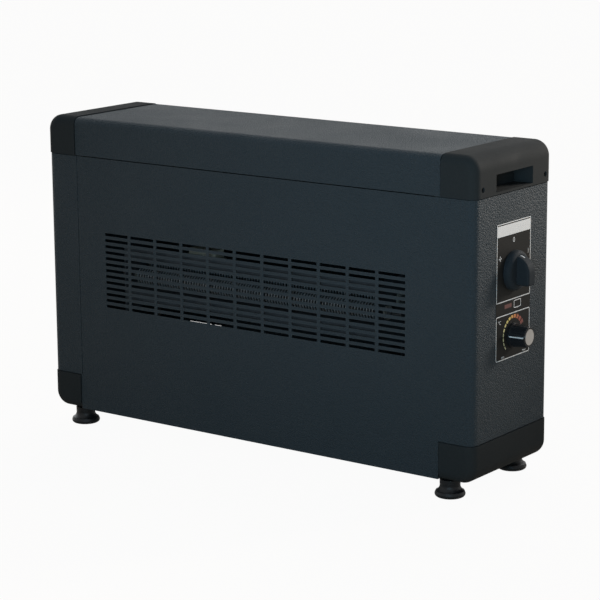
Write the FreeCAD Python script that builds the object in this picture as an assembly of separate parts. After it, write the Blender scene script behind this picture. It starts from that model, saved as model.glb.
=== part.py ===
import FreeCAD, Part
import math
import os

# Floor-standing fan heater: a steel casing with plastic corner caps, a cross-flow blower,
# two finned heating tubes and two knobs on the right end.
# Millimetres, X along the length (controls at +X), front at -Y, Z up from the floor.
# Places are counted from under the middle of the case, and shifted when a piece is saved.

# Casing
case_length = 606.0  # steel, outside, along X
case_depth = 158.0  # steel, outside, along Y
body_height = 360.0  # underside of the bottom caps to the top of the top caps
sheet = 1.2  # casing steel
corner_radius = 10.0  # outside bend of the upright corners
cover_bend = 8.0  # outside bend of the top cover's long edges
seam_gap = 1.2  # open line between casing pieces
seam_inset = 46.0  # casing end to an upright seam
strip_width = 20.0  # backing strip behind a seam
pan_flange = 15.0  # upturned edge of the base pan
fit_gap = 0.15  # clearance where still pieces slide together
over = 1.0  # cutting blocks pass the face they cut by this

# Corner caps
cap_proud = 1.0  # caps stand out from the steel by this
cap_wall = 3.5
cap_reach = 44.0  # outer end to inner edge, along X
top_cap_height = 46.0
bottom_cap_height = 43.0
top_end_radius = 18.0
bottom_end_radius = 18.0
tongue_wall = 2.5  # inner rim that sits behind the steel
tongue_reach = 8.0  # how far the rim passes the cap's edge
tongue_root = 6.0  # how far the rim runs back inside the cap
recess_width = 76.0  # handle recess in the end of a top cap
recess_height = 19.5
recess_depth = 24.0
recess_floor = 2.5  # cap's lower edge to the recess
recess_wall = 2.5
cap_screw_inset = 15.5  # cap's outer side to a screw
cap_screw_height = 9.0  # above the cap's lower edge
cap_screw_diameter = 3.0
cap_screw_head = 5.6
cap_screw_head_height = 2.0
cap_screw_sink = 0.4  # head lies this far below the cap's face
rail_sheet = 1.2  # steel rail that the cap screws bite into
rail_drop = 14.0
rail_ear = 8.0

# Feet
foot_height = 20.0  # floor to the underside of the caps
foot_diameter = 34.0
foot_neck = 23.0
foot_sole_share = 0.84  # sole over rim, in diameter
foot_shoulder_share = 0.94  # shoulder over rim, in diameter
foot_rim_rise = 0.2  # heights along the bell, over the foot's height
foot_shoulder_rise = 0.33
foot_neck_rise = 0.75
foot_inset_x = 38.0  # cap's outer end to a foot's axis
foot_inset_y = 15.0  # cap's outer side to a foot's axis
foot_gap = 0.3  # pad to cap
stud_diameter = 8.0
stud_rise = 30.0  # stud's top above the underside of the caps
stud_seat = 9.0  # pad's sole to the end of the stud
boss_diameter = 20.0
boss_height = 6.0  # nut seat above the underside of the caps
nut_height = 6.5
nut_across = 13.0
turn_gap = 0.05  # radial clearance of a turning fit
moving_gap = 0.3  # clearance between moving and still pieces
thread_gap = 0.02  # radial clearance of a screwed or pressed fit

# Grilles
slot_length = 35.5
slot_height = 3.6
slot_bridge = 4.0
slot_columns = 11
row_pitch = 7.3
front_rows = 13
front_grille_height = 178.4  # middle of the front grille above the caps' underside
rear_rows = 8
rear_grille_height = 67.0

# Controls on the right end
control_y = 1.0
selector_height = 226.0
thermostat_height = 153.7
label_thickness = 0.3
label_width = 71.0
label_height = 152.0
label_middle = 204.7
label_corner = 2.0
knob_gap = 0.5  # knob to label
bush_diameter = 10.0
bush_length = 4.0  # beyond the label
bush_clearance = 0.2
bush_nut_across = 14.0
bush_nut_height = 2.5
shaft_diameter = 6.0
shaft_flat = 1.5  # depth of the flat on a shaft
shaft_in_knob = 14.0
selector_diameter = 44.6
selector_skirt = 8.0
selector_shoulder = 5.0  # rounding at the edge of the knob's face
selector_reach = 23.0
selector_bar = 15.0  # thickness of the grip bar
selector_bar_round = 2.5
selector_tail = 0.68  # bar's low end below the axis, over the knob's radius
selector_nose = 0.05  # bar's highest point below the axis, over the knob's radius
selector_ridge_out = 0.66  # middle of the sloping ridge, over the bar's height
selector_ridge_up = 0.52  # the same point above the axis, over the knob's radius
selector_cavity = 37.0
knob_cavity_depth = 5.0
knob_bore_spare = 2.0  # bore beyond the end of the shaft
thermostat_skirt = 28.0
thermostat_skirt_height = 2.5
thermostat_diameter = 26.8  # at the skirt
thermostat_front = 22.4  # at the face
thermostat_reach = 20.5
thermostat_cavity = 21.0
flute_count = 24
flute_width = 1.5
thermostat_round = 0.8
disc_diameter = 17.6
disc_thickness = 1.0
disc_sink = 0.5
switch_size = 46.0
switch_depth = 40.0
regulator_width = 34.0
regulator_height = 36.0
regulator_depth = 36.0

# Heater duct and elements
duct_sheet = 1.0
bracket_sheet = 1.5
heater_left_inset = 113.0  # case's left end to the left bracket
heater_right_inset = 133.0  # right bracket to the case's right end
duct_front_gap = 6.0  # front sheet to duct
duct_low = 158.0  # duct floor above the caps' underside
duct_flange = 14.0
bracket_foot = 12.0
fin_diameter = 24.0
fin_thickness = 1.2
fin_pitch = 4.0
fin_margin = 9.0  # bracket to first fin
element_tube = 8.5
element_pin = 4.0
element_pin_length = 12.0
element_overhang = 8.0  # tube beyond the bracket
element_setback = 10.0  # duct's front to the first fins
element_rise = 11.0  # rear element above the front one
element_gap = 1.0  # fins to duct, and half the gap between the two elements
duct_back_gap = 4.0
outlet_drop = 7.0  # duct roof to the top of the blower's outlet
insulator_wall = 1.75
insulator_flange = 16.0
insulator_flange_height = 3.0
insulator_reach = 4.0
link_width = 9.0
link_thickness = 1.0
cutout_length = 40.0
cutout_width = 18.0
cutout_height = 20.0
cutout_inset = 107.0  # left bracket to the cut-out's middle
cutout_setback = 12.0
cutout_round = 2.0
tab_length = 8.0
tab_width = 6.3
tab_thickness = 0.8

# Blower
wheel_diameter = 60.0
wheel_length = 230.0
blower_inset = 25.0  # blower's right plate to the right bracket
wheel_height = 130.0  # axis above the caps' underside
wheel_end_gap = 5.0
blade_count = 24
blade_depth = 7.0
blade_thickness = 0.9
blade_lean = 20.0  # degrees from root to tip
blade_bulge = 0.75  # share of the lean at the blade's middle
disc_count = 4
wheel_disc = 1.5
wheel_hub = 16.0
wheel_hub_length = 12.0
scroll_gap = 5.0
scroll_sweep = 90.0  # degrees of the scroll's arc
scroll_shift_y = 2.0
scroll_shift_z = 5.0
blower_rear_gap = 8.0
tongue_gap = 3.4
tongue_drop = 2.0
tongue_lip = 21.0  # folded edge that hangs from the tip
plate_margin = 3.0
window_margin = 12.0
fan_shaft_diameter = 6.0
fan_bush_diameter = 10.0
fan_bush_length = 8.0
grommet_diameter = 22.0
grommet_length = 6.0
shaft_spare = 5.0
shaft_hole = 14.0

# Motor
motor_standoff = 16.0  # blower plate to the core
core_thickness = 22.0
core_width = 60.0
core_top = 22.0  # axis to the core's top
core_bore = 27.0
window_drop = 20.0  # axis to the top of the winding window
window_height = 16.0
window_width = 36.0
limb_height = 10.0
coil_wall = 8.0
coil_clear = 2.0
bridge_sheet = 2.0
bridge_width = 14.0
bridge_leg = 5.0
bridge_boss = 12.0
bridge_boss_length = 6.0
motor_screw_spread = 48.0
motor_screw_diameter = 4.0
motor_screw_head = 7.0
motor_screw_head_height = 2.0
motor_screw_spare = 1.0  # thread beyond the nut

# Wiring, sensing and cable inlet
terminal_length = 45.0
terminal_width = 20.0
terminal_height = 18.0
terminal_inset = 75.0  # terminal block's middle to the case's right end
terminal_y = -20.0
terminal_wells = 3
terminal_well = 5.0
lead_diameter = 3.0
lead_straight = 18.0  # straight run at each end of a lead
lead_slack = 10.0
lead_offset = 8.0  # from the switch's axis to its terminal
bend_share = 0.45  # part of the shorter straight run that a bend may take
bulb_diameter = 6.5
bulb_length = 80.0
bulb_inset_x = 113.0  # bulb's middle to the case's right end
bulb_inset_y = 24.0  # bulb's axis to the case's rear
bulb_lift = 12.0  # axis above the pan
clip_width = 8.0
clip_wall = 2.0
clip_inset = 14.0
capillary_diameter = 2.0
capillary_straight = 14.0
inlet_inset = 67.0  # inlet's axis to the case's right end
inlet_height = 60.0
inlet_diameter = 16.0
inlet_bore = 8.0
inlet_flange = 22.0
inlet_flange_height = 3.0
inlet_barb = 1.0
inlet_barb_height = 2.0

# Places worked out from the sizes above
half_length = case_length / 2
half_depth = case_depth / 2
inner_depth = half_depth - sheet
base_z = foot_height
top_z = base_z + body_height
cap_end = half_length + cap_proud
cap_side = half_depth + cap_proud
cap_inner = cap_end - cap_reach
cap_round = corner_radius + cap_proud
top_cap_z = top_z - top_cap_height
bottom_cap_z = base_z + bottom_cap_height
tongue_inset = cap_proud + sheet + fit_gap
tongue_inner = tongue_inset + tongue_wall
tongue_round = max(cap_round, cover_bend + cap_proud)
pan_z = base_z + cap_proud
pan_top = pan_z + sheet
seam_x = half_length - seam_inset
panel_low = bottom_cap_z + seam_gap
panel_high = top_cap_z - seam_gap
foot_x = cap_end - foot_inset_x
foot_y = cap_side - foot_inset_y
panel_face = half_length
label_face = panel_face + label_thickness
panel_back = panel_face - sheet
knob_base = label_face + knob_gap
bush_end = label_face + bush_length
selector_z = base_z + selector_height
thermostat_z = base_z + thermostat_height
screw_y = cap_side - cap_screw_inset
screw_z = top_cap_z + cap_screw_height
duct_left = heater_left_inset - half_length
duct_right = half_length - heater_right_inset
duct_front = duct_front_gap - inner_depth
duct_floor = base_z + duct_low
fin_radius = fin_diameter / 2
element_front_y = duct_front + element_setback + fin_radius
element_rear_y = element_front_y + fin_diameter + 2 * element_gap
element_front_z = duct_floor + element_gap + fin_radius
element_rear_z = element_front_z + element_rise
duct_roof = element_rear_z + fin_radius + element_gap
duct_back = element_rear_y + fin_radius + duct_back_gap
outlet_top = duct_roof - outlet_drop
wheel_radius = wheel_diameter / 2
scroll_radius = wheel_radius + scroll_gap
scroll_y = inner_depth - blower_rear_gap - duct_sheet - scroll_radius
wheel_y = scroll_y + scroll_shift_y
wheel_z = base_z + wheel_height
scroll_z = wheel_z + scroll_shift_z
blower_right = duct_right - blower_inset
wheel_right = blower_right - wheel_end_gap
wheel_left = wheel_right - wheel_length
blower_left = wheel_left - wheel_end_gap
core_left = blower_right + bracket_sheet + motor_standoff
core_right = core_left + core_thickness
bridge_out = bridge_leg + bridge_sheet
shaft_right = core_right + bridge_out + bridge_boss_length + shaft_spare
limb_top = wheel_z - window_drop - window_height
limb_low = limb_top - limb_height
terminal_x = half_length - terminal_inset
bulb_x = half_length - bulb_inset_x
bulb_y = half_depth - bulb_inset_y
inlet_x = half_length - inlet_inset
frame_shift = (cap_end - knob_base - selector_reach) / 2  # puts the origin under the object's middle
far = 1000.0  # larger than the whole object, for trimming blocks


def V(x, y, z):
    return FreeCAD.Vector(x, y, z)


def box(x0, x1, y0, y1, z0, z1):
    return Part.makeBox(x1 - x0, y1 - y0, z1 - z0, V(x0, y0, z0))


def rodX(x0, x1, y, z, diameter):
    return Part.makeCylinder(diameter / 2, x1 - x0, V(x0, y, z), V(1, 0, 0))


def rodY(y0, y1, x, z, diameter):
    return Part.makeCylinder(diameter / 2, y1 - y0, V(x, y0, z), V(0, 1, 0))


def rodZ(z0, z1, x, y, diameter):
    return Part.makeCylinder(diameter / 2, z1 - z0, V(x, y, z0), V(0, 0, 1))


def polar(y, z, radius, degrees):
    angle = math.radians(degrees)
    return (y + radius * math.cos(angle), z + radius * math.sin(angle))


def cornerPath(points, radii, closed):
    # Straight runs joined by tangent arcs, one radius for each point
    edges = []
    last = None
    first = None
    count = len(points)
    for i in range(count):
        point = points[i]
        inner = closed or 0 < i < count - 1
        start = point
        end = point
        if inner and radii[i] > 0:
            back = (points[i - 1] - point).normalize()
            ahead = (points[(i + 1) % count] - point).normalize()
            half = back.getAngle(ahead) / 2
            run = radii[i] / math.tan(half)
            start = point + back * run
            end = point + ahead * run
            bisector = (back + ahead).normalize()
            middle = point + bisector * (radii[i] / math.sin(half) - radii[i])
        if last is not None and last.distanceToPoint(start) > 1e-6:
            edges.append(Part.makeLine(last, start))
        if start.distanceToPoint(end) > 1e-6:
            edges.append(Part.Arc(start, middle, end).toShape())
        if first is None:
            first = start
        last = end
    if closed:
        edges.append(Part.makeLine(last, first))
    return Part.Wire(edges)


def prism(points, radii, direction):
    return Part.Face(cornerPath(points, radii, True)).extrude(direction)


def plate(points, direction):
    return prism(points, [0] * len(points), direction)


def plateX(outline, x0, x1):
    # Outline in Y and Z, drawn out along X
    return plate([V(x0, y, z) for y, z in outline], V(x1 - x0, 0, 0))


def uprightBlock(half_x, half_y, radius, z0, z1):
    points = [V(-half_x, -half_y, z0), V(half_x, -half_y, z0)]
    points += [V(half_x, half_y, z0), V(-half_x, half_y, z0)]
    return prism(points, [radius] * 4, V(0, 0, z1 - z0))


def hexagon(across, x0, x1, y, z):
    corner = across / 2 / math.cos(math.pi / 6)
    points = []
    for i in range(6):
        angle = math.pi / 3 * i
        points.append((y + corner * math.cos(angle), z + corner * math.sin(angle)))
    return plateX(points, x0, x1)


def hexagonZ(across, z0, z1, x, y):
    corner = across / 2 / math.cos(math.pi / 6)
    points = []
    for i in range(6):
        angle = math.pi / 3 * i
        points.append(V(x + corner * math.cos(angle), y + corner * math.sin(angle), z0))
    return plate(points, V(0, 0, z1 - z0))


def fuse(shapes):
    return shapes[0].multiFuse(shapes[1:]).removeSplitter()


def mirrorX(shape):
    return shape.mirror(V(0, 0, 0), V(1, 0, 0))


def mirrorY(shape):
    return shape.mirror(V(0, 0, 0), V(0, 1, 0))


def halfTurn(shape):
    turned = shape.copy()
    turned.rotate(V(0, 0, 0), V(0, 0, 1), 180)
    return turned


def tubeRoute(points, diameter):
    # Round tube on straight runs with arcs as large as the runs allow
    radii = [0.0] * len(points)
    for i in range(1, len(points) - 1):
        back = points[i - 1] - points[i]
        ahead = points[i + 1] - points[i]
        turn = math.pi - back.getAngle(ahead)
        radii[i] = bend_share * min(back.Length, ahead.Length) / math.tan(turn / 2)
    path = cornerPath(points, radii, False)
    ring = Part.Wire(Part.makeCircle(diameter / 2, points[0], points[1] - points[0]))
    return path.makePipeShell([ring], True, False)


def slackRoute(start, start_way, end, end_way, straight, diameter):
    # Leaves and arrives straight, with some slack between
    leave = start + start_way * straight
    arrive = end + end_way * straight
    middle = (leave + arrive) * 0.5 - V(lead_slack, 0, 0)
    return tubeRoute([start, leave, middle, arrive, end], diameter)


def save(name, shape):
    solids = shape.Solids
    piece = solids[0] if len(solids) == 1 else Part.makeCompound(solids)
    piece.translate(V(frame_shift, 0, 0))
    piece.exportStep("parts/" + name + ".step")
    print(name, len(solids), "valid" if piece.isValid() else "NOT VALID")


os.makedirs("parts", exist_ok=True)


# Casing shells


def slotField(rows, middle, y0, y1):
    slots = []
    pitch = slot_length + slot_bridge
    for column in range(slot_columns):
        x0 = (column - (slot_columns - 1) / 2) * pitch - slot_length / 2
        for row in range(rows):
            z0 = middle + (row - (rows - 1) / 2) * row_pitch - slot_height / 2
            slots.append(box(x0, x0 + slot_length, y0, y1, z0, z0 + slot_height))
    return Part.makeCompound(slots)


def bushHoles():
    hole = bush_diameter + 2 * bush_clearance
    start = panel_back - over
    return [rodX(start, label_face + over, control_y, z, hole) for z in (selector_z, thermostat_z)]


def wrapShell():
    # Long face, one end and a short return on the other long face
    outer = uprightBlock(half_length, half_depth, corner_radius, pan_z, panel_high)
    inner = uprightBlock(half_length - sheet, inner_depth, corner_radius - sheet, pan_z, panel_high)
    away = [
        box(-far, seam_x + seam_gap / 2, 0, far, -far, far),
        box(-far, far, 0, far, -far, panel_low),
        box(cap_inner - seam_gap, far, -far, far, -far, panel_low),
        box(-far, seam_gap / 2 - seam_x, -far, far, panel_low, far),
        box(-far, seam_gap - cap_inner, -far, far, -far, panel_low),
    ]
    return outer.cut([inner] + away)


def frontShell():
    cuts = [slotField(front_rows, base_z + front_grille_height, -half_depth - over, -inner_depth + over)]
    return wrapShell().cut(cuts + bushHoles())


def rearShell():
    cuts = [slotField(rear_rows, base_z + rear_grille_height, inner_depth - over, half_depth + over)]
    cuts.append(rodY(inner_depth - over, half_depth + over, inlet_x, base_z + inlet_height, inlet_diameter))
    return halfTurn(wrapShell()).cut(cuts)


def topCover():
    x1 = cap_inner - seam_gap
    high = top_z - cap_proud
    outline = [V(-x1, -half_depth, top_cap_z), V(-x1, -half_depth, high)]
    outline += [V(-x1, half_depth, high), V(-x1, half_depth, top_cap_z)]
    outer = prism(outline, [0, cover_bend, cover_bend, 0], V(2 * x1, 0, 0))
    inside = [V(-x1, -inner_depth, top_cap_z), V(-x1, -inner_depth, high - sheet)]
    inside += [V(-x1, inner_depth, high - sheet), V(-x1, inner_depth, top_cap_z)]
    bend = cover_bend - sheet
    return outer.cut(prism(inside, [0, bend, bend, 0], V(2 * x1, 0, 0)))


def basePan():
    x1 = cap_inner - seam_gap
    flange_x = cap_inner - tongue_reach - seam_gap
    floor = box(-x1, x1, -inner_depth, inner_depth, pan_z, pan_top)
    front = box(-flange_x, flange_x, -inner_depth, sheet - inner_depth, pan_z, pan_z + pan_flange)
    rear = mirrorY(front)
    return fuse([floor, front, rear])


def seamStrip():
    edge = tongue_reach + seam_gap
    low = bottom_cap_z + edge
    high = top_cap_z - edge
    x0 = -seam_x - strip_width / 2
    return box(x0, x0 + strip_width, -inner_depth, sheet - inner_depth, low, high)


save("front_shell", frontShell())
save("rear_shell", rearShell())
save("top_cover", topCover())
save("base_pan", basePan())
save("left_seam_strip", seamStrip())
save("right_seam_strip", halfTurn(seamStrip()))


# Corner caps, drawn at the right end and mirrored for the left


def capBlock(inset, end_radius, round_to, x_start, z_start, z_outer):
    x1 = cap_end - inset
    y1 = cap_side - inset
    points = [V(x_start, -y1, z_start), V(x1, -y1, z_start), V(x1, -y1, z_outer), V(x_start, -y1, z_outer)]
    solid = prism(points, [0, 0, end_radius - inset, 0], V(0, 2 * y1, 0))
    rim = []
    for edge in solid.Edges:
        middle = edge.CenterOfMass
        on_side = abs(abs(middle.y) - y1) < 1e-6
        on_start = abs(middle.x - x_start) < 1e-6 or abs(middle.z - z_start) < 1e-6
        if on_side and not on_start:
            rim.append(edge)
    return solid.makeFillet(round_to - inset, rim)


def topBlock(inset, round_to, x_start, z_start):
    return capBlock(inset, top_end_radius, round_to, x_start, z_start, top_z - inset)


def bottomBlock(inset, x_start, z_stop):
    return capBlock(inset, bottom_end_radius, cap_round, x_start, z_stop, base_z + inset)


def topCap():
    hollow = topBlock(cap_wall, cap_round, cap_inner - over, top_cap_z - over)
    shell = topBlock(0, cap_round, cap_inner, top_cap_z).cut(hollow)
    x0 = cap_inner - tongue_reach
    z0 = top_cap_z - tongue_reach
    tongue = topBlock(tongue_inset, tongue_round, x0, z0)
    tongue = tongue.cut([
        topBlock(tongue_inner, tongue_round, x0 - over, z0 - over),
        box(cap_inner + tongue_root, far, -far, far, top_cap_z + tongue_root, far),
    ])
    half_recess = recess_width / 2
    recess_low = top_cap_z + recess_floor
    recess_high = recess_low + recess_height
    recess_back = cap_end - recess_depth
    half_pocket = half_recess + recess_wall
    pocket = box(recess_back - recess_wall, cap_end - cap_wall / 2, -half_pocket, half_pocket,
                 top_cap_z, recess_high + recess_wall)
    cavity = box(recess_back, far, -half_recess, half_recess, recess_low, recess_high)
    holes = []
    for y in (-screw_y, screw_y):
        head_back = cap_end - cap_screw_sink - cap_screw_head_height
        holes.append(rodX(head_back, cap_end + over, y, screw_z, cap_screw_head + 2 * fit_gap))
        holes.append(rodX(cap_inner, cap_end, y, screw_z, cap_screw_diameter + 2 * fit_gap))
    return fuse([shell, tongue, pocket]).cut([cavity] + holes)


def bottomCap():
    hollow = bottomBlock(cap_wall, cap_inner - over, bottom_cap_z + over)
    shell = bottomBlock(0, cap_inner, bottom_cap_z).cut(hollow)
    x0 = cap_inner - tongue_reach
    z1 = bottom_cap_z + tongue_reach
    tongue = bottomBlock(tongue_inset, x0, z1)
    tongue = tongue.cut([
        bottomBlock(tongue_inner, x0 - over, z1 + over),
        box(cap_inner + tongue_root, far, -far, far, -far, bottom_cap_z - tongue_root),
    ])
    bosses = []
    holes = []
    boss_top = base_z + boss_height
    for y in (-foot_y, foot_y):
        bosses.append(rodZ(base_z + tongue_inset, boss_top, foot_x, y, boss_diameter))
        holes.append(rodZ(base_z - over, boss_top + over, foot_x, y, stud_diameter + 2 * moving_gap))
    return fuse([shell, tongue] + bosses).cut(holes)


def endRail():
    x1 = cap_end - tongue_inner
    x0 = x1 - rail_sheet
    half_rail = screw_y + rail_ear / 2
    low = top_cap_z - seam_gap - rail_drop
    high = top_cap_z - seam_gap
    shapes = [box(x0, x1, -half_rail, half_rail, low, high)]
    shapes.append(box(x0, x1, -half_rail, -screw_y + rail_ear, low, screw_z + rail_ear))
    shapes.append(box(x0, x1, screw_y - rail_ear, half_rail, low, screw_z + rail_ear))
    hole = cap_screw_diameter + 2 * thread_gap
    return fuse(shapes).cut([rodX(x0 - over, x1 + over, y, screw_z, hole) for y in (-screw_y, screw_y)])


def capScrews():
    head_face = cap_end - cap_screw_sink
    head_back = head_face - cap_screw_head_height
    tip = cap_end - tongue_inner - rail_sheet - cap_screw_diameter
    screws = []
    for y in (-screw_y, screw_y):
        head = rodX(head_back, head_face, y, screw_z, cap_screw_head)
        screws.append(fuse([head, rodX(tip, head_back, y, screw_z, cap_screw_diameter)]))
    return Part.makeCompound(screws + [mirrorX(s) for s in screws])


save("top_right_cap", topCap())
save("top_left_cap", mirrorX(topCap()))
save("bottom_right_cap", bottomCap())
save("bottom_left_cap", mirrorX(bottomCap()))
save("right_end_rail", endRail())
save("left_end_rail", mirrorX(endRail()))
save("cap_screws", capScrews())


# Levelling feet: a bell-shaped pad with a threaded stud that turns in it


def footPad(x, y):
    neck = foot_neck / 2
    top = foot_height - foot_gap
    sole = V(foot_diameter / 2 * foot_sole_share, 0, 0)
    rim_side = V(foot_diameter / 2, 0, foot_height * foot_rim_rise)
    shoulder = V(foot_diameter / 2 * foot_shoulder_share, 0, foot_height * foot_shoulder_rise)
    neck_low = V(neck, 0, foot_height * foot_neck_rise)
    near = 1 - math.sqrt(0.5)  # middle of a quarter round
    bulge = V(rim_side.x - (rim_side.x - sole.x) * near, 0, rim_side.z * near)
    sweep = V(neck + (shoulder.x - neck) * near, 0, shoulder.z + (neck_low.z - shoulder.z) * near)
    edges = [
        Part.makeLine(V(0, 0, 0), sole),
        Part.Arc(sole, bulge, rim_side).toShape(),
        Part.makeLine(rim_side, shoulder),
        Part.Arc(shoulder, sweep, neck_low).toShape(),
        Part.makeLine(neck_low, V(neck, 0, top)),
        Part.makeLine(V(neck, 0, top), V(0, 0, top)),
        Part.makeLine(V(0, 0, top), V(0, 0, 0)),
    ]
    pad = Part.Face(Part.Wire(edges)).revolve(V(0, 0, 0), V(0, 0, 1), 360)
    pad.translate(V(x, y, 0))
    return pad.cut(rodZ(stud_seat - moving_gap, foot_height, x, y, stud_diameter + 2 * turn_gap))


def footNut(x, y):
    low = base_z + boss_height
    nut = hexagonZ(nut_across, low, low + nut_height, x, y)
    return nut.cut(rodZ(low - over, low + nut_height + over, x, y, stud_diameter + 2 * turn_gap))


foot_places = {
    "front_left": (-foot_x, -foot_y),
    "front_right": (foot_x, -foot_y),
    "rear_left": (-foot_x, foot_y),
    "rear_right": (foot_x, foot_y),
}
foot_nuts = []
for place, (x, y) in foot_places.items():
    save(place + "_foot_pad", footPad(x, y))
    save(place + "_foot_stud", rodZ(stud_seat, base_z + stud_rise, x, y, stud_diameter))
    foot_nuts.append(footNut(x, y))
save("foot_nuts", Part.makeCompound(foot_nuts))


# Controls


def controlLabel():
    y0 = control_y - label_width / 2
    z0 = base_z + label_middle - label_height / 2
    y1 = y0 + label_width
    z1 = z0 + label_height
    points = [V(panel_face, y0, z0), V(panel_face, y1, z0), V(panel_face, y1, z1), V(panel_face, y0, z1)]
    return prism(points, [label_corner] * 4, V(label_thickness, 0, 0)).cut(bushHoles())


def flatShaft(x0, x1, flat_from, z, grow):
    # Round shaft with one flat, grown by the clearance for a bore
    flat_y = control_y + shaft_diameter / 2 - shaft_flat + grow
    shaft = rodX(x0, x1, control_y, z, shaft_diameter + 2 * grow)
    return shaft.cut(box(flat_from, x1 + over, flat_y, far, z - shaft_diameter, z + shaft_diameter))


def knobBore(z):
    start = knob_base + knob_cavity_depth - over
    return flatShaft(start, knob_base + shaft_in_knob + knob_bore_spare, start, z, thread_gap)


def controlShaft(depth, z):
    flat_from = knob_base + knob_cavity_depth - moving_gap
    return flatShaft(panel_back - depth, knob_base + shaft_in_knob, flat_from, z, 0)


def controlBody(width, height, depth, z):
    half_width = width / 2
    half_height = height / 2
    block = box(panel_back - depth, panel_back, control_y - half_width, control_y + half_width,
                z - half_height, z + half_height)
    bush = rodX(panel_back - over, bush_end, control_y, z, bush_diameter)
    bore_end = panel_back - depth / 2 - moving_gap
    bore = rodX(bore_end, bush_end + over, control_y, z, shaft_diameter + 2 * turn_gap)
    return fuse([block, bush]).cut(bore)


def bushNut(z):
    nut = hexagon(bush_nut_across, label_face, label_face + bush_nut_height, control_y, z)
    return nut.cut(rodX(label_face - over, bush_end, control_y, z, bush_diameter + 2 * thread_gap))


def selectorKnob():
    z = selector_z
    radius = selector_diameter / 2
    face = knob_base + selector_skirt
    out = knob_base + selector_reach
    skirt = rodX(knob_base, face, control_y, z, selector_diameter)
    rim = [e for e in skirt.Edges if abs(e.CenterOfMass.x - face) < 1e-6 and e.Length > radius]
    skirt = skirt.makeFillet(selector_shoulder, rim)
    y0 = control_y - selector_bar / 2
    high = z + radius - selector_shoulder
    low = z - radius * selector_tail
    root = face - selector_skirt / 3
    nose = z - radius * selector_nose
    ridge_middle = V(face + (out - face) * selector_ridge_out, y0, z + radius * selector_ridge_up)
    edges = [
        Part.makeLine(V(root, y0, low), V(root, y0, high)),
        Part.Arc(V(root, y0, high), ridge_middle, V(out, y0, nose)).toShape(),
        Part.makeLine(V(out, y0, nose), V(out, y0, low)),
        Part.makeLine(V(out, y0, low), V(root, y0, low)),
    ]
    bar = Part.Face(Part.Wire(edges)).extrude(V(0, selector_bar, 0))
    rounded = [e for e in bar.Edges if e.CenterOfMass.x > root + 1e-6]
    bar = bar.makeFillet(selector_bar_round, rounded)
    bar = bar.common(rodX(root, out + over, control_y, z, selector_diameter - selector_bar_round))
    cavity = rodX(knob_base - over, knob_base + knob_cavity_depth, control_y, z, selector_cavity)
    return fuse([skirt, bar]).cut([cavity, knobBore(z)])


def thermostatKnob():
    z = thermostat_z
    face = knob_base + thermostat_reach
    skirt = rodX(knob_base, knob_base + thermostat_skirt_height, control_y, z, thermostat_skirt)
    wide = thermostat_diameter / 2
    narrow = thermostat_front / 2
    body = Part.makeCone(wide, narrow, thermostat_reach, V(knob_base, control_y, z), V(1, 0, 0))
    rim = [e for e in body.Edges if abs(e.CenterOfMass.x - face) < 1e-6 and e.Length > thermostat_front]
    body = body.makeFillet(thermostat_round, rim)
    flutes = []
    slope = (wide - narrow) / thermostat_reach
    rise = thermostat_skirt_height + flute_width
    for i in range(flute_count):
        angle = 360 * (i + 0.5) / flute_count
        low_y, low_z = polar(control_y, z, wide - slope * rise, angle)
        end_y, end_z = polar(control_y, z, narrow - slope * over, angle)
        low = V(knob_base + rise, low_y, low_z)
        way = V(face + over, end_y, end_z) - low
        flutes.append(Part.makeCylinder(flute_width / 2, way.Length, low, way))
    body = body.cut(flutes)
    seat = rodX(face - disc_sink, face + over, control_y, z, disc_diameter + 2 * thread_gap)
    cavity = rodX(knob_base - over, knob_base + knob_cavity_depth, control_y, z, thermostat_cavity)
    return fuse([skirt, body]).cut([seat, cavity, knobBore(z)])


def knobDisc():
    start = knob_base + thermostat_reach - disc_sink
    return rodX(start, start + disc_thickness, control_y, thermostat_z, disc_diameter)


save("control_label", controlLabel())
save("selector_knob", selectorKnob())
save("selector_shaft", controlShaft(switch_depth / 2, selector_z))
save("selector_switch", controlBody(switch_size, switch_size, switch_depth, selector_z))
save("thermostat_knob", thermostatKnob())
save("thermostat_knob_disc", knobDisc())
save("thermostat_shaft", controlShaft(regulator_depth / 2, thermostat_z))
save("thermostat_body", controlBody(regulator_width, regulator_height, regulator_depth, thermostat_z))
save("bush_nuts", Part.makeCompound([bushNut(selector_z), bushNut(thermostat_z)]))


# Heater duct, brackets and elements


def ductUpper():
    roof = box(duct_left, duct_right, duct_front, duct_back, duct_roof, duct_roof + duct_sheet)
    lip_y = duct_front + duct_sheet
    lip = box(duct_left, duct_right, duct_front, lip_y, duct_roof, duct_roof + duct_flange)
    back_y = duct_back - duct_sheet
    back = box(duct_left, duct_right, back_y, duct_back, outlet_top, duct_roof)
    left = box(duct_left, blower_left, back_y, duct_back, duct_floor, outlet_top)
    right = box(blower_right, duct_right, back_y, duct_back, duct_floor, outlet_top)
    return fuse([roof, lip, back, left, right])


def ductLower():
    floor = box(duct_left, duct_right, duct_front, duct_back, duct_floor - duct_sheet, duct_floor)
    lip_y = duct_front + duct_sheet
    lip = box(duct_left, duct_right, duct_front, lip_y, duct_floor - duct_flange, duct_floor)
    return fuse([floor, lip])


def footedPlate(inner, side, y0, y1, high, window_high):
    # Upright plate with a foot on the pan and a window, side is the outward direction along X
    outer = inner + side * bracket_sheet
    foot_end = inner + side * bracket_foot
    wall = box(min(inner, outer), max(inner, outer), y0, y1, pan_top, high)
    foot = box(min(inner, foot_end), max(inner, foot_end), y0, y1, pan_top, pan_top + bracket_sheet)
    window = box(inner - bracket_foot, inner + bracket_foot, y0 + window_margin, y1 - window_margin,
                 pan_top + window_margin, window_high)
    return fuse([wall, foot]).cut(window)


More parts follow.
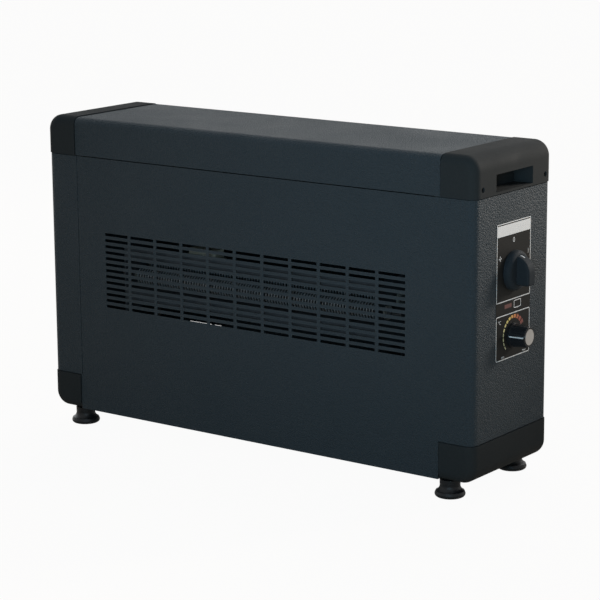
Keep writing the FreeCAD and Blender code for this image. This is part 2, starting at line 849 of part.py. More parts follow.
def elementBracket(inner, side):
    window_high = duct_floor - duct_flange - window_margin
    bracket = footedPlate(inner, side, duct_front, duct_back, duct_roof + duct_flange, window_high)
    hole = element_tube + 2 * insulator_wall + 2 * fit_gap
    start = inner - bracket_foot
    return bracket.cut([rodX(start, inner + bracket_foot, y, z, hole) for y, z in element_axes])


def heatingElement(y, z):
    tube = element_tube / 2
    pin = element_pin / 2
    tube_left = duct_left - bracket_sheet - element_overhang
    tube_right = duct_right + bracket_sheet + element_overhang
    outline = [(tube_left - element_pin_length, 0), (tube_left - element_pin_length, pin)]
    outline += [(tube_left, pin), (tube_left, tube)]
    count = int((duct_right - duct_left - 2 * fin_margin) // fin_pitch) + 1
    first = (duct_left + duct_right) / 2 - (count - 1) / 2 * fin_pitch
    for i in range(count):
        x = first + i * fin_pitch - fin_thickness / 2
        outline += [(x, tube), (x, fin_radius), (x + fin_thickness, fin_radius), (x + fin_thickness, tube)]
    outline += [(tube_right, tube), (tube_right, pin)]
    outline += [(tube_right + element_pin_length, pin), (tube_right + element_pin_length, 0)]
    points = [V(x, y, z + r) for x, r in outline]
    face = Part.Face(Part.makePolygon(points + [points[0]]))
    return face.revolve(V(0, y, z), V(1, 0, 0), 360)


def insulator(inner, side, y, z):
    bore = element_tube + 2 * thread_gap
    barrel_end = inner - side * insulator_reach
    plate_out = inner + side * bracket_sheet
    flange_out = plate_out + side * insulator_flange_height
    width = element_tube + 2 * insulator_wall
    barrel = rodX(min(barrel_end, flange_out), max(barrel_end, flange_out), y, z, width)
    flange = rodX(min(plate_out, flange_out), max(plate_out, flange_out), y, z, insulator_flange)
    return fuse([barrel, flange]).cut(rodX(inner - far, inner + far, y, z, bore))


def elementLink():
    # Strap between the two left pins
    (y0, z0), (y1, z1) = element_axes
    length = math.hypot(y1 - y0, z1 - z0)
    along_y = (y1 - y0) / length * link_width / 2
    along_z = (z1 - z0) / length * link_width / 2
    outline = [
        (y0 - along_y - along_z, z0 - along_z + along_y),
        (y0 - along_y + along_z, z0 - along_z - along_y),
        (y1 + along_y + along_z, z1 + along_z - along_y),
        (y1 + along_y - along_z, z1 + along_z + along_y),
    ]
    x0 = duct_left - bracket_sheet - element_overhang - element_pin_length / 2
    strap = plateX(outline, x0, x0 + link_thickness)
    hole = element_pin + 2 * thread_gap
    return strap.cut([rodX(x0 - over, x0 + link_thickness + over, y, z, hole) for y, z in element_axes])


def thermalCutout():
    y0 = duct_front + cutout_setback
    z0 = duct_roof + duct_sheet
    x0 = duct_left + cutout_inset - cutout_length / 2
    x1 = x0 + cutout_length
    block = box(x0, x1, y0, y0 + cutout_width, z0, z0 + cutout_height)
    block = block.makeFillet(cutout_round, [e for e in block.Edges if e.CenterOfMass.z > z0 + 1e-6])
    tab_y = y0 + (cutout_width - tab_width) / 2
    tab_z = z0 + cutout_height / 2
    tab = box(x0 - tab_length, x1 + tab_length, tab_y, tab_y + tab_width, tab_z, tab_z + tab_thickness)
    return fuse([block, tab])


element_axes = [(element_front_y, element_front_z), (element_rear_y, element_rear_z)]
insulators = []
for y, z in element_axes:
    insulators.append(insulator(duct_left, -1, y, z))
    insulators.append(insulator(duct_right, 1, y, z))
save("duct_upper", ductUpper())
save("duct_lower", ductLower())
save("left_element_bracket", elementBracket(duct_left, -1))
save("right_element_bracket", elementBracket(duct_right, 1))
save("front_heating_element", heatingElement(element_front_y, element_front_z))
save("rear_heating_element", heatingElement(element_rear_y, element_rear_z))
save("element_insulators", Part.makeCompound(insulators))
save("element_link", elementLink())
save("thermal_cutout", thermalCutout())


# Cross-flow blower


def scrollSheet():
    x0 = blower_left
    angles = (0, scroll_sweep / 2, scroll_sweep)
    inner = [V(x0, *polar(scroll_y, scroll_z, scroll_radius, a)) for a in angles]
    outer = [V(x0, *polar(scroll_y, scroll_z, scroll_radius + duct_sheet, a)) for a in angles]
    mouth_low = V(x0, duct_back, outlet_top)
    mouth_high = V(x0, duct_back, outlet_top + duct_sheet)
    edges = [
        Part.Arc(inner[0], inner[1], inner[2]).toShape(),
        Part.makeLine(inner[2], mouth_low),
        Part.makeLine(mouth_low, mouth_high),
        Part.makeLine(mouth_high, outer[2]),
        Part.Arc(outer[2], outer[1], outer[0]).toShape(),
        Part.makeLine(outer[0], inner[0]),
    ]
    return Part.Face(Part.Wire(edges)).extrude(V(blower_right - blower_left, 0, 0))


def tongueSheet():
    tip_y = wheel_y - wheel_radius - tongue_gap
    tip_z = wheel_z - tongue_drop
    lip_z = tip_z - tongue_lip
    seat_z = duct_floor - duct_sheet
    outline = [(duct_back, seat_z), (tip_y, tip_z), (tip_y, lip_z), (tip_y - duct_sheet, lip_z)]
    outline += [(tip_y - duct_sheet, tip_z), (duct_back - duct_sheet, seat_z)]
    return plateX(outline, blower_left, blower_right)


def blowerPlate(inner, side, hole):
    rear = scroll_y + scroll_radius + duct_sheet + plate_margin
    window_high = wheel_z - wheel_radius - window_margin
    wall = footedPlate(inner, side, duct_back, rear, duct_roof + duct_sheet, window_high)
    return wall.cut(rodX(inner - bracket_foot, inner + bracket_foot, wheel_y, wheel_z, hole))


def motorScrewAxes():
    return [(wheel_y - motor_screw_spread / 2, wheel_z), (wheel_y + motor_screw_spread / 2, wheel_z)]


def motorScrewHoles():
    return [rodX(-far, far, y, z, motor_screw_diameter + 2 * fit_gap) for y, z in motorScrewAxes()]


def fanWheel():
    bore = rodX(wheel_left - over, wheel_right + over, wheel_y, wheel_z, fan_shaft_diameter + 2 * thread_gap)
    inner_radius = wheel_radius - blade_depth
    shapes = []
    gap = (wheel_length - wheel_disc) / (disc_count - 1)
    for i in range(disc_count):
        x = wheel_left + i * gap
        shapes.append(rodX(x, x + wheel_disc, wheel_y, wheel_z, wheel_diameter))
    for i in range(1, disc_count - 1):
        x = wheel_left + i * gap
        opening = rodX(x, x + wheel_disc, wheel_y, wheel_z, 2 * inner_radius)
        shapes[i] = shapes[i].cut(opening)
    for start in (wheel_left, wheel_right - wheel_hub_length):
        shapes.append(rodX(start, start + wheel_hub_length, wheel_y, wheel_z, wheel_hub))
    thick = math.degrees(blade_thickness / wheel_radius)
    outer_radius = wheel_radius - blade_thickness / 2
    root_radius = inner_radius + blade_thickness / 2
    middle_radius = (outer_radius + root_radius) / 2
    bulge = blade_lean * blade_bulge
    for i in range(blade_count):
        at = 360 / blade_count * i
        face = [
            V(wheel_left, *polar(wheel_y, wheel_z, root_radius, at)),
            V(wheel_left, *polar(wheel_y, wheel_z, middle_radius, at + bulge)),
            V(wheel_left, *polar(wheel_y, wheel_z, outer_radius, at + blade_lean)),
        ]
        back = [
            V(wheel_left, *polar(wheel_y, wheel_z, outer_radius, at + blade_lean + thick)),
            V(wheel_left, *polar(wheel_y, wheel_z, middle_radius, at + bulge + thick)),
            V(wheel_left, *polar(wheel_y, wheel_z, root_radius, at + thick)),
        ]
        edges = [
            Part.Arc(*face).toShape(),
            Part.makeLine(face[2], back[0]),
            Part.Arc(*back).toShape(),
            Part.makeLine(back[2], face[0]),
        ]
        shapes.append(Part.Face(Part.Wire(edges)).extrude(V(wheel_length, 0, 0)))
    return fuse(shapes).cut(bore)


def ringX(x0, length, outside, inside):
    ring = rodX(x0, x0 + length, wheel_y, wheel_z, outside)
    return ring.cut(rodX(x0 - over, x0 + length + over, wheel_y, wheel_z, inside))


plate_middle = blower_left - bracket_sheet / 2
bush_left = plate_middle - fan_bush_length / 2
grommet_left = plate_middle - grommet_length / 2
shaft_left = bush_left - shaft_spare
save("scroll_sheet", scrollSheet())
save("tongue_sheet", tongueSheet())
save("blower_left_plate", blowerPlate(blower_left, -1, grommet_diameter))
save("blower_right_plate", blowerPlate(blower_right, 1, shaft_hole).cut(motorScrewHoles()))
save("fan_wheel", fanWheel())
save("fan_shaft", rodX(shaft_left, shaft_right, wheel_y, wheel_z, fan_shaft_diameter))
save("fan_bush", ringX(bush_left, fan_bush_length, fan_bush_diameter, fan_shaft_diameter + 2 * turn_gap))
save("bush_grommet", ringX(grommet_left, grommet_length, grommet_diameter, fan_bush_diameter))


# Shaded-pole motor


def motorCore():
    half_width = core_width / 2
    core = box(core_left, core_right, wheel_y - half_width, wheel_y + half_width,
               limb_low, wheel_z + core_top)
    half_window = window_width / 2
    window = box(core_left - over, core_right + over, wheel_y - half_window, wheel_y + half_window,
                 limb_top, limb_top + window_height)
    bore = rodX(core_left - over, core_right + over, wheel_y, wheel_z, core_bore)
    return core.cut([window, bore] + motorScrewHoles())


def motorCoil():
    half_width = core_width / 2
    half_coil = window_width / 2 - coil_clear
    thick = coil_wall + fit_gap
    outer = box(core_left - thick, core_right + thick, wheel_y - half_coil, wheel_y + half_coil,
                limb_low - thick, limb_top + thick)
    rounded = [e for e in outer.Edges if abs(e.CenterOfMass.y - wheel_y) < 1e-6]
    outer = outer.makeFillet(coil_wall / 2, rounded)
    limb = box(core_left - fit_gap, core_right + fit_gap, wheel_y - half_width, wheel_y + half_width,
               limb_low - fit_gap, limb_top + fit_gap)
    return outer.cut(limb)


def motorBridge(face, side):
    # Strap across the core with two legs on it and a bearing boss
    strap_in = face + side * bridge_leg
    strap_out = face + side * bridge_out
    boss_out = strap_out + side * bridge_boss_length
    half_span = motor_screw_spread / 2 + bridge_width / 2 - bridge_sheet
    half_width = bridge_width / 2
    z0 = wheel_z - half_width
    z1 = wheel_z + half_width
    shapes = [box(min(strap_in, strap_out), max(strap_in, strap_out),
                  wheel_y - half_span, wheel_y + half_span, z0, z1)]
    shapes.append(rodX(min(strap_in, boss_out), max(strap_in, boss_out), wheel_y, wheel_z, bridge_boss))
    for way in (-1, 1):
        outside = wheel_y + way * half_span
        inside = outside - way * bridge_width
        y0 = min(outside, inside)
        y1 = max(outside, inside)
        shapes.append(box(min(face, strap_in), max(face, strap_in), y0, y1, z0, z1))
    bore = rodX(-far, far, wheel_y, wheel_z, fan_shaft_diameter + 2 * turn_gap)
    return fuse(shapes).cut([bore] + motorScrewHoles())


def motorScrews():
    head_face = blower_right - motor_screw_head_height
    nut_left = core_right + bridge_out
    nut_right = nut_left + motor_screw_head_height
    screws = []
    for y, z in motorScrewAxes():
        head = rodX(head_face, blower_right, y, z, motor_screw_head)
        shank = rodX(blower_right, nut_right + motor_screw_spare, y, z, motor_screw_diameter)
        screws.append(fuse([head, shank, hexagon(motor_screw_head, nut_left, nut_right, y, z)]))
    return Part.makeCompound(screws)


save("motor_core", motorCore())
save("motor_coil", motorCoil())
rotor_diameter = core_bore - 2 * moving_gap
save("motor_rotor", ringX(core_left, core_thickness, rotor_diameter, fan_shaft_diameter + 2 * thread_gap))
save("motor_inner_bridge", motorBridge(core_left, -1))
save("motor_outer_bridge", motorBridge(core_right, 1))
save("motor_screws", motorScrews())


# Terminal block, leads, temperature sensor and cable inlet


def wellFloor(index):
    pitch = terminal_length / terminal_wells
    x = terminal_x - terminal_length / 2 + pitch * (index + 0.5)
    return V(x, terminal_y, pan_top + terminal_height / 2)


def terminalBlock():
    x0 = terminal_x - terminal_length / 2
    y0 = terminal_y - terminal_width / 2
    block = box(x0, x0 + terminal_length, y0, y0 + terminal_width, pan_top, pan_top + terminal_height)
    wells = []
    for i in range(terminal_wells):
        low = wellFloor(i)
        wells.append(rodZ(low.z, low.z + terminal_height, low.x, low.y, terminal_well))
    return block.cut(wells)


def bulbClips():
    z = pan_top + bulb_lift
    clips = []
    hole = bulb_diameter + 2 * thread_gap
    half_clip = bulb_diameter / 2 + clip_wall
    for end in (-1, 1):
        x = bulb_x + end * (bulb_length / 2 - clip_inset)
        block = box(x - clip_width / 2, x + clip_width / 2, bulb_y - half_clip, bulb_y + half_clip,
                    pan_top, z + half_clip)
        clips.append(block.cut(rodX(x - clip_width, x + clip_width, bulb_y, z, hole)))
    return Part.makeCompound(clips)


def thermostatSensor():
    # Bulb with the capillary tube that runs from it to the thermostat
    start = V(bulb_x + bulb_length / 2, bulb_y, pan_top + bulb_lift)
    end = V(panel_back - regulator_depth, control_y, thermostat_z)
    bulb = rodX(start.x - bulb_length, start.x, start.y, start.z, bulb_diameter)
    tube = slackRoute(start, V(1, 0, 0), end, V(-1, 0, 0), capillary_straight, capillary_diameter)
    return fuse([bulb, tube])


def switchLead():
    start = wellFloor(terminal_wells - 1)
    end = V(panel_back - switch_depth, control_y - lead_offset, selector_z)
    return slackRoute(start, V(0, 0, 1), end, V(-1, 0, 0), lead_straight, lead_diameter)


def motorLead():
    end = V(core_right + coil_wall + fit_gap, wheel_y, (limb_top + limb_low) / 2)
    return slackRoute(wellFloor(0), V(0, 0, 1), end, V(1, 0, 0), lead_straight, lead_diameter)


def cableBushing():
    z = base_z + inlet_height
    outside = half_depth + inlet_flange_height
    inside = inner_depth - fit_gap - inlet_barb_height
    flange = rodY(half_depth, outside, inlet_x, z, inlet_flange)
    barrel = rodY(inside, outside, inlet_x, z, inlet_diameter - 2 * fit_gap)
    barb = rodY(inside, inside + inlet_barb_height, inlet_x, z, inlet_diameter + 2 * inlet_barb)
    return fuse([flange, barrel, barb]).cut(rodY(inside - over, outside + over, inlet_x, z, inlet_bore))


save("terminal_block", terminalBlock())
save("switch_lead", switchLead())
save("motor_lead", motorLead())
save("bulb_clips", bulbClips())
save("thermostat_sensor", thermostatSensor())
save("cable_bushing", cableBushing())
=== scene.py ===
import bmesh
import bpy
import math
from mathutils import Matrix, Vector


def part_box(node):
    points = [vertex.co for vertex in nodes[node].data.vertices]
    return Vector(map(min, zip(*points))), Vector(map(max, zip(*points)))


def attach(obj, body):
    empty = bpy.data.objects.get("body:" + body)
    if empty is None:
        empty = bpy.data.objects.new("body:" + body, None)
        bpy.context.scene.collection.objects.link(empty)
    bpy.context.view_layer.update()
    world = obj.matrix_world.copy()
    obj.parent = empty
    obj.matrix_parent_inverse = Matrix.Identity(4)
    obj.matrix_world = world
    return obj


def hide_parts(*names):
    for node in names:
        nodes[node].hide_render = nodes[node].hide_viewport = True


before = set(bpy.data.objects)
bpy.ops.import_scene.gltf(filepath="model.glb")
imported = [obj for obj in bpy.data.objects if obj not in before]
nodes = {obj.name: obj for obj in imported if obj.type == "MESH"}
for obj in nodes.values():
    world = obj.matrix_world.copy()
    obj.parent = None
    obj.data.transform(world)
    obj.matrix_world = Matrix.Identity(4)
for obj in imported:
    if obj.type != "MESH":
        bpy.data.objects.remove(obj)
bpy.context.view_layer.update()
scene = bpy.context.scene
mm = 0.001
coverLow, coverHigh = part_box("top_cover")
caseX = (coverLow.x + coverHigh.x) / 2  # middle of the case along X, the knobs shift it from 0
print("frame:", len(nodes), "nodes, case middle at", round(caseX, 5))


def spot(x, y, z):  # millimetres from under the middle of the case
    return Vector((caseX + x * mm, y * mm, z * mm))


# view of the photograph

viewSetup = {"lens": 135.0, "sensor": 36.0, "azimuth": 36.45, "elevation": 12.41, "roll": -0.37,
             "distance": 2.6305, "aim": (0.0, 0.0, 200.0), "right": 0.0122, "up": -0.0248,
             "clipEnd": 100.0}


def placeCamera(setup):
    turn = math.radians(setup["azimuth"])
    rise = math.radians(setup["elevation"])
    roll = math.radians(setup["roll"])
    back = Vector((math.sin(turn) * math.cos(rise), -math.cos(turn) * math.cos(rise), math.sin(rise)))
    right = Vector((math.cos(turn), math.sin(turn), 0))
    up = back.cross(right)
    target = spot(*setup["aim"]) + right * setup["right"] + up * setup["up"]
    rolledRight = right * math.cos(roll) + up * math.sin(roll)
    rolledUp = up * math.cos(roll) - right * math.sin(roll)
    turned = Matrix((rolledRight, rolledUp, back)).transposed().to_4x4()
    lens = bpy.data.cameras.new("photoView")
    lens.lens = setup["lens"]
    lens.sensor_width = setup["sensor"]
    lens.clip_end = setup["clipEnd"]
    camera = bpy.data.objects.new("photoView", lens)
    scene.collection.objects.link(camera)
    camera.matrix_world = Matrix.Translation(target + back * setup["distance"]) @ turned
    scene.camera = camera


placeCamera(viewSetup)
print("camera placed")


# shader helpers

def addNode(tree, kind, values=None, **settings):
    node = tree.nodes.new(kind)
    for name, value in settings.items():
        setattr(node, name, value)
    for name, value in (values or {}).items():
        node.inputs[name].default_value = value
    return node


def feed(tree, socket, value):
    if isinstance(value, bpy.types.NodeSocket):
        tree.links.new(value, socket)
    else:
        socket.default_value = value


def calc(tree, operation, *values):
    node = addNode(tree, "ShaderNodeMath", operation=operation)
    for socket, value in zip(node.inputs, values):
        feed(tree, socket, value)
    return node.outputs[0]


def remap(tree, value, low, high, outLow=0.0, outHigh=1.0):
    node = addNode(tree, "ShaderNodeMapRange", {"From Min": low, "From Max": high,
                                                "To Min": outLow, "To Max": outHigh})
    feed(tree, node.inputs["Value"], value)
    return node.outputs["Result"]


def mixColor(tree, factor, first, second):  # the numbers are the colour sockets of the Mix node
    node = addNode(tree, "ShaderNodeMix", data_type="RGBA")
    feed(tree, node.inputs[0], factor)
    feed(tree, node.inputs[6], first)
    feed(tree, node.inputs[7], second)
    return node.outputs[2]


def rgba(color):
    return (*color, 1.0)


def newGroup(name, inputs, outputs):
    group = bpy.data.node_groups.new(name, "ShaderNodeTree")
    for label, kind, value in inputs:
        socket = group.interface.new_socket(label, in_out="INPUT", socket_type=kind)
        if value is not None:
            socket.default_value = value
    for label in outputs:
        group.interface.new_socket(label, in_out="OUTPUT", socket_type="NodeSocketFloat")
    return group, group.nodes.new("NodeGroupInput"), group.nodes.new("NodeGroupOutput")


def addNoise(tree, vector, scale, values):
    node = addNode(tree, "ShaderNodeTexNoise", values)
    feed(tree, node.inputs["Vector"], vector)
    feed(tree, node.inputs["Scale"], scale)
    return node


# shared effects, each a node group

grainInputs = [("Vector", "NodeSocketVector", None), ("Size", "NodeSocketFloat", 0.002)]
edgeHighlightInputs = [("Radius", "NodeSocketFloat", 0.001)]

coatLook = {"drift": 0.45, "driftDetail": 2.0, "roundness": 0.7, "domeRange": (0.75, 0.05), "skin": 2.6,
            "skinDetail": 3.0, "skinRange": (0.3, 0.7), "skinHeight": 0.35, "skinTone": 0.5}


def hammeredCoat(look):  # rounded droplets of powder coat with a fine skin over them
    tree, start, end = newGroup("hammeredCoat", grainInputs, ["Height", "Tone"])
    vector, size = start.outputs["Vector"], start.outputs["Size"]
    density = calc(tree, "DIVIDE", 1.0, size)
    drift = addNoise(tree, vector, calc(tree, "MULTIPLY", density, look["drift"]),
                     {"Detail": look["driftDetail"]})
    moved = addNode(tree, "ShaderNodeVectorMath", operation="MULTIPLY_ADD")
    for socket, value in zip(moved.inputs, (drift.outputs["Color"], size, vector)):
        feed(tree, socket, value)
    drops = addNode(tree, "ShaderNodeTexVoronoi", {"Smoothness": look["roundness"]}, feature="SMOOTH_F1")
    feed(tree, drops.inputs["Vector"], moved.outputs[0])
    feed(tree, drops.inputs["Scale"], density)
    skin = addNoise(tree, vector, calc(tree, "MULTIPLY", density, look["skin"]),
                    {"Detail": look["skinDetail"]}).outputs["Fac"]
    domes = remap(tree, drops.outputs["Distance"], *look["domeRange"])
    feed(tree, end.inputs["Height"], calc(tree, "MULTIPLY_ADD", skin, look["skinHeight"], domes))
    speckle = remap(tree, skin, *look["skinRange"])
    feed(tree, end.inputs["Tone"], calc(tree, "MULTIPLY_ADD", speckle, look["skinTone"],
                                        calc(tree, "MULTIPLY", domes, 1.0 - look["skinTone"])))
    return tree


mouldLook = {"detail": 4.0, "rough": 0.65, "heightRange": (0.25, 0.75), "toneRange": (0.35, 0.65)}


def mouldGrain(look):  # spark-eroded texture of moulded plastic
    tree, start, end = newGroup("mouldGrain", grainInputs, ["Height", "Tone"])
    density = calc(tree, "DIVIDE", 1.0, start.outputs["Size"])
    pits = addNoise(tree, start.outputs["Vector"], density,
                    {"Detail": look["detail"], "Roughness": look["rough"]}).outputs["Fac"]
    feed(tree, end.inputs["Height"], remap(tree, pits, *look["heightRange"]))
    feed(tree, end.inputs["Tone"], remap(tree, pits, *look["toneRange"]))
    return tree


sheetLook = {"stretch": (4.0, 900.0, 900.0), "lineDetail": 2.0, "flakeTone": 0.6, "lineTone": 0.4}


def rolledSheet(look):  # zinc bloom in large flakes with fine rolling lines along X
    tree, start, end = newGroup("rolledSheet", grainInputs, ["Height", "Tone"])
    vector = start.outputs["Vector"]
    flakes = addNode(tree, "ShaderNodeTexVoronoi", feature="F1")
    feed(tree, flakes.inputs["Vector"], vector)
    feed(tree, flakes.inputs["Scale"], calc(tree, "DIVIDE", 1.0, start.outputs["Size"]))
    shade = addNode(tree, "ShaderNodeSeparateColor")
    feed(tree, shade.inputs["Color"], flakes.outputs["Color"])
    along = addNode(tree, "ShaderNodeMapping", {"Scale": look["stretch"]})
    feed(tree, along.inputs["Vector"], vector)
    lines = addNoise(tree, along.outputs["Vector"], 1.0, {"Detail": look["lineDetail"]}).outputs["Fac"]
    feed(tree, end.inputs["Height"], lines)
    feed(tree, end.inputs["Tone"], calc(tree, "MULTIPLY_ADD", shade.outputs["Red"], look["flakeTone"],
                                        calc(tree, "MULTIPLY", lines, look["lineTone"])))
    return tree


def stackedSheets():  # thin laminations or close turns, counted along X
    tree, start, end = newGroup("stackedSheets", grainInputs, ["Height", "Tone"])
    parts = addNode(tree, "ShaderNodeSeparateXYZ")
    feed(tree, parts.inputs["Vector"], start.outputs["Vector"])
    count = calc(tree, "DIVIDE", parts.outputs["X"], start.outputs["Size"])
    wave = calc(tree, "ABSOLUTE", calc(tree, "SINE", calc(tree, "MULTIPLY", count, math.pi)))
    sheet = addNode(tree, "ShaderNodeTexWhiteNoise", noise_dimensions="1D")
    feed(tree, sheet.inputs["W"], calc(tree, "FLOOR", count))
    feed(tree, end.inputs["Height"], wave)
    feed(tree, end.inputs["Tone"], sheet.outputs["Value"])
    return tree


wipeLook = {"detail": 4.0, "rough": 0.55, "distortion": 0.6, "maskRange": (0.32, 0.68)}


def handling(look):  # broad, soft patches left by wiping and touch
    tree, start, end = newGroup("handling", grainInputs, ["Mask"])
    density = calc(tree, "DIVIDE", 1.0, start.outputs["Size"])
    patches = addNoise(tree, start.outputs["Vector"], density,
                       {"Detail": look["detail"], "Roughness": look["rough"],
                        "Distortion": look["distortion"]})
    feed(tree, end.inputs["Mask"], remap(tree, patches.outputs["Fac"], *look["maskRange"]))
    return tree


edgeHighlightLook = {"samples": 4, "matchRange": (0.98, 0.72)}


def edgeHighlight(look):  # painted highlight: a mask where the bevelled normal turns from the true normal, at rounded corners and edges
    tree, start, end = newGroup("edgeHighlight", edgeHighlightInputs, ["Mask"])
    soft = addNode(tree, "ShaderNodeBevel", samples=look["samples"])
    feed(tree, soft.inputs["Radius"], start.outputs["Radius"])
    flat = addNode(tree, "ShaderNodeNewGeometry")
    match = addNode(tree, "ShaderNodeVectorMath", operation="DOT_PRODUCT")
    feed(tree, match.inputs[0], soft.outputs["Normal"])
    feed(tree, match.inputs[1], flat.outputs["Normal"])
    feed(tree, end.inputs["Mask"], remap(tree, match.outputs["Value"], *look["matchRange"]))
    return tree


groups = {made.name: made for made in (hammeredCoat(coatLook), mouldGrain(mouldLook),
                                       rolledSheet(sheetLook), stackedSheets(), handling(wipeLook),
                                       edgeHighlight(edgeHighlightLook))}


def placeGroup(tree, name, vector=None, **values):
    node = addNode(tree, "ShaderNodeGroup", node_tree=groups[name])
    if vector is not None:
        feed(tree, node.inputs["Vector"], vector)
    for label, value in values.items():
        node.inputs[label].default_value = value
    return node


def emptyTree(owner):
    owner.use_nodes = True
    owner.node_tree.nodes.clear()
    return owner.node_tree


def newMaterial(name):
    material = bpy.data.materials.new(name)
    tree = emptyTree(material)
    shader = addNode(tree, "ShaderNodeBsdfPrincipled")
    output = addNode(tree, "ShaderNodeOutputMaterial")
    tree.links.new(shader.outputs["BSDF"], output.inputs["Surface"])
    vector = addNode(tree, "ShaderNodeTexCoord").outputs["Object"]
    return material, tree, shader, vector


def addBump(tree, shader, height, look):
    bump = addNode(tree, "ShaderNodeBump", {"Strength": look["bump"], "Distance": look["depth"]})
    feed(tree, bump.inputs["Height"], height)
    tree.links.new(bump.outputs["Normal"], shader.inputs["Normal"])


def setRough(tree, shader, mask, look):
    tree.links.new(remap(tree, mask, 0.0, 1.0, *look["rough"]), shader.inputs["Roughness"])


def tint(tree, color, mask, share, over):  # lays a colour over another where the mask is
    return mixColor(tree, calc(tree, "MULTIPLY", mask, share), color, rgba(over))


plainFinish = {"patch": 0.06, "metal": 0.0, "specular": 0.5}  # for what a finish doesn't give itself


def makeFinish(name, given):
    look = {**plainFinish, **given}
    material, tree, shader, vector = newMaterial(name)
    along = vector
    if "turn" in look:  # turns the grain so that its X runs along another axis
        turned = addNode(tree, "ShaderNodeMapping", {"Rotation": look["turn"]})
        feed(tree, turned.inputs["Vector"], vector)
        along = turned.outputs["Vector"]
    grain = placeGroup(tree, look["grain"], along, Size=look["size"])
    touch = placeGroup(tree, "handling", vector, Size=look["patch"]).outputs["Mask"]
    color = mixColor(tree, grain.outputs["Tone"], rgba(look["dark"]), rgba(look["light"]))
    if "stain" in look:
        color = tint(tree, color, touch, look["stainShare"], look["stain"])
    # painted highlight: a lighter colour laid over the edges found by the bevel mask
    if "edgeLight" in look:
        edgeLight = placeGroup(tree, "edgeHighlight", Radius=look["edgeLightWidth"]).outputs["Mask"]
        color = tint(tree, color, edgeLight, look["edgeLightShare"], look["edgeLight"])
    tree.links.new(color, shader.inputs["Base Color"])
    setRough(tree, shader, touch, look)
    shader.inputs["Metallic"].default_value = look["metal"]
    shader.inputs["Specular IOR Level"].default_value = look["specular"]
    addBump(tree, shader, grain.outputs["Height"], look)
    return material
